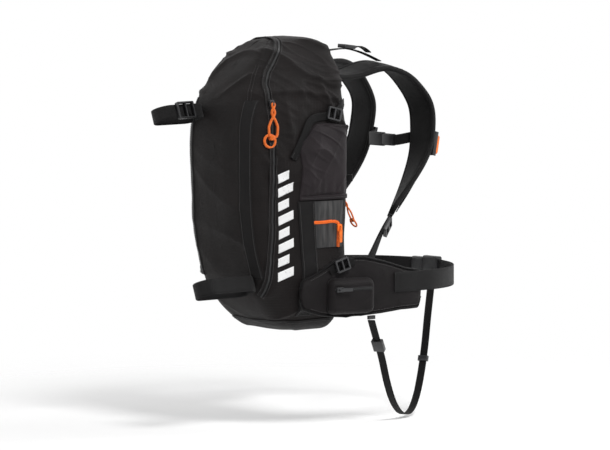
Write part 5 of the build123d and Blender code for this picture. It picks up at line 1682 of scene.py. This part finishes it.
def seen(tree):
    """1 for rays from the camera, a glossy surface or a clear one, and 0 for the rest."""
    path = tree.nodes.new("ShaderNodeLightPath")
    total = None
    for ray in ("Is Camera Ray", "Is Glossy Ray", "Is Transmission Ray"):
        if total is None:
            total = path.outputs[ray]
            continue
        both = tree.nodes.new("ShaderNodeMath")
        both.operation = "MAXIMUM"
        tree.links.new(total, both.inputs[0])
        tree.links.new(path.outputs[ray], both.inputs[1])
        total = both.outputs[0]
    return total


lowest, highest = cad_bounds
floor_z = lowest.z - 0.004
world = bpy.data.worlds.new("studio")
bpy.context.scene.world = world
world.use_nodes = True
tree = world.node_tree
sky = tree.nodes["Background"]
sky.inputs["Color"].default_value = (1, 1, 1, 1)
strength = tree.nodes.new("ShaderNodeMapRange")
strength.inputs["To Min"].default_value = 0.40
strength.inputs["To Max"].default_value = 1.0
tree.links.new(seen(tree), strength.inputs["Value"])
tree.links.new(strength.outputs[0], sky.inputs["Strength"])

rings, spokes = 24, 64
reach = np.linspace(0, 1.6, rings)[:, None]
turn = np.linspace(0, 2 * np.pi, spokes, endpoint=False)
middle = (lowest + highest) / 2
floor_grid = np.stack(
    np.broadcast_arrays(middle.x + reach * np.cos(turn), middle.y + reach * np.sin(turn), floor_z), -1
)
points, quads, _ = grid(floor_grid, ring=True)
mesh = bpy.data.meshes.new("floor")
mesh.from_pydata(points.tolist(), [], quads[:, ::-1].tolist())
floor = placed("floor", mesh)
floor_finish = Finish("floor_paint", Base_Color=(0.86, 0.86, 0.86, 1), Roughness=1.0, Specular_IOR_Level=0.0)
along_x, along_y, _ = floor_finish.apart(floor_finish.place())
off_x, off_y = along_x - middle.x, along_y - middle.y
distance_out = (off_x * off_x + off_y * off_y) ** 0.5
floor_finish.feed(Alpha=1.0 - distance_out.rise(0.35, 1.3))
mesh.materials.append(floor_finish.material)
floor_finish.shader.inputs["Emission Color"].default_value = (1, 1, 1, 1)
floor_finish.shader.inputs["Emission Strength"].default_value = 0.22

softbox("key", (2.4, -0.6, 2.6), middle, (0.9, 0.9), 90)
softbox("fill", (-1.8, -3.0, 1.2), middle, (1.6, 1.6), 18)
softbox("rim", (1.2, 2.8, 1.6), middle, (1.2, 1.8), 42)
camera = placed("camera", bpy.data.cameras.new("camera"))
bpy.context.scene.camera = camera
azimuth, elevation, distance = np.radians(48), np.radians(5), 12.0
back = Vector((np.sin(azimuth) * np.cos(elevation), -np.cos(azimuth) * np.cos(elevation), np.sin(elevation)))
camera.data.lens = 378
camera.location = Vector(middle) + back * distance
camera.rotation_euler = (-back).to_track_quat("-Z", "Y").to_euler()
bpy.context.scene.view_settings.view_transform = "Standard"
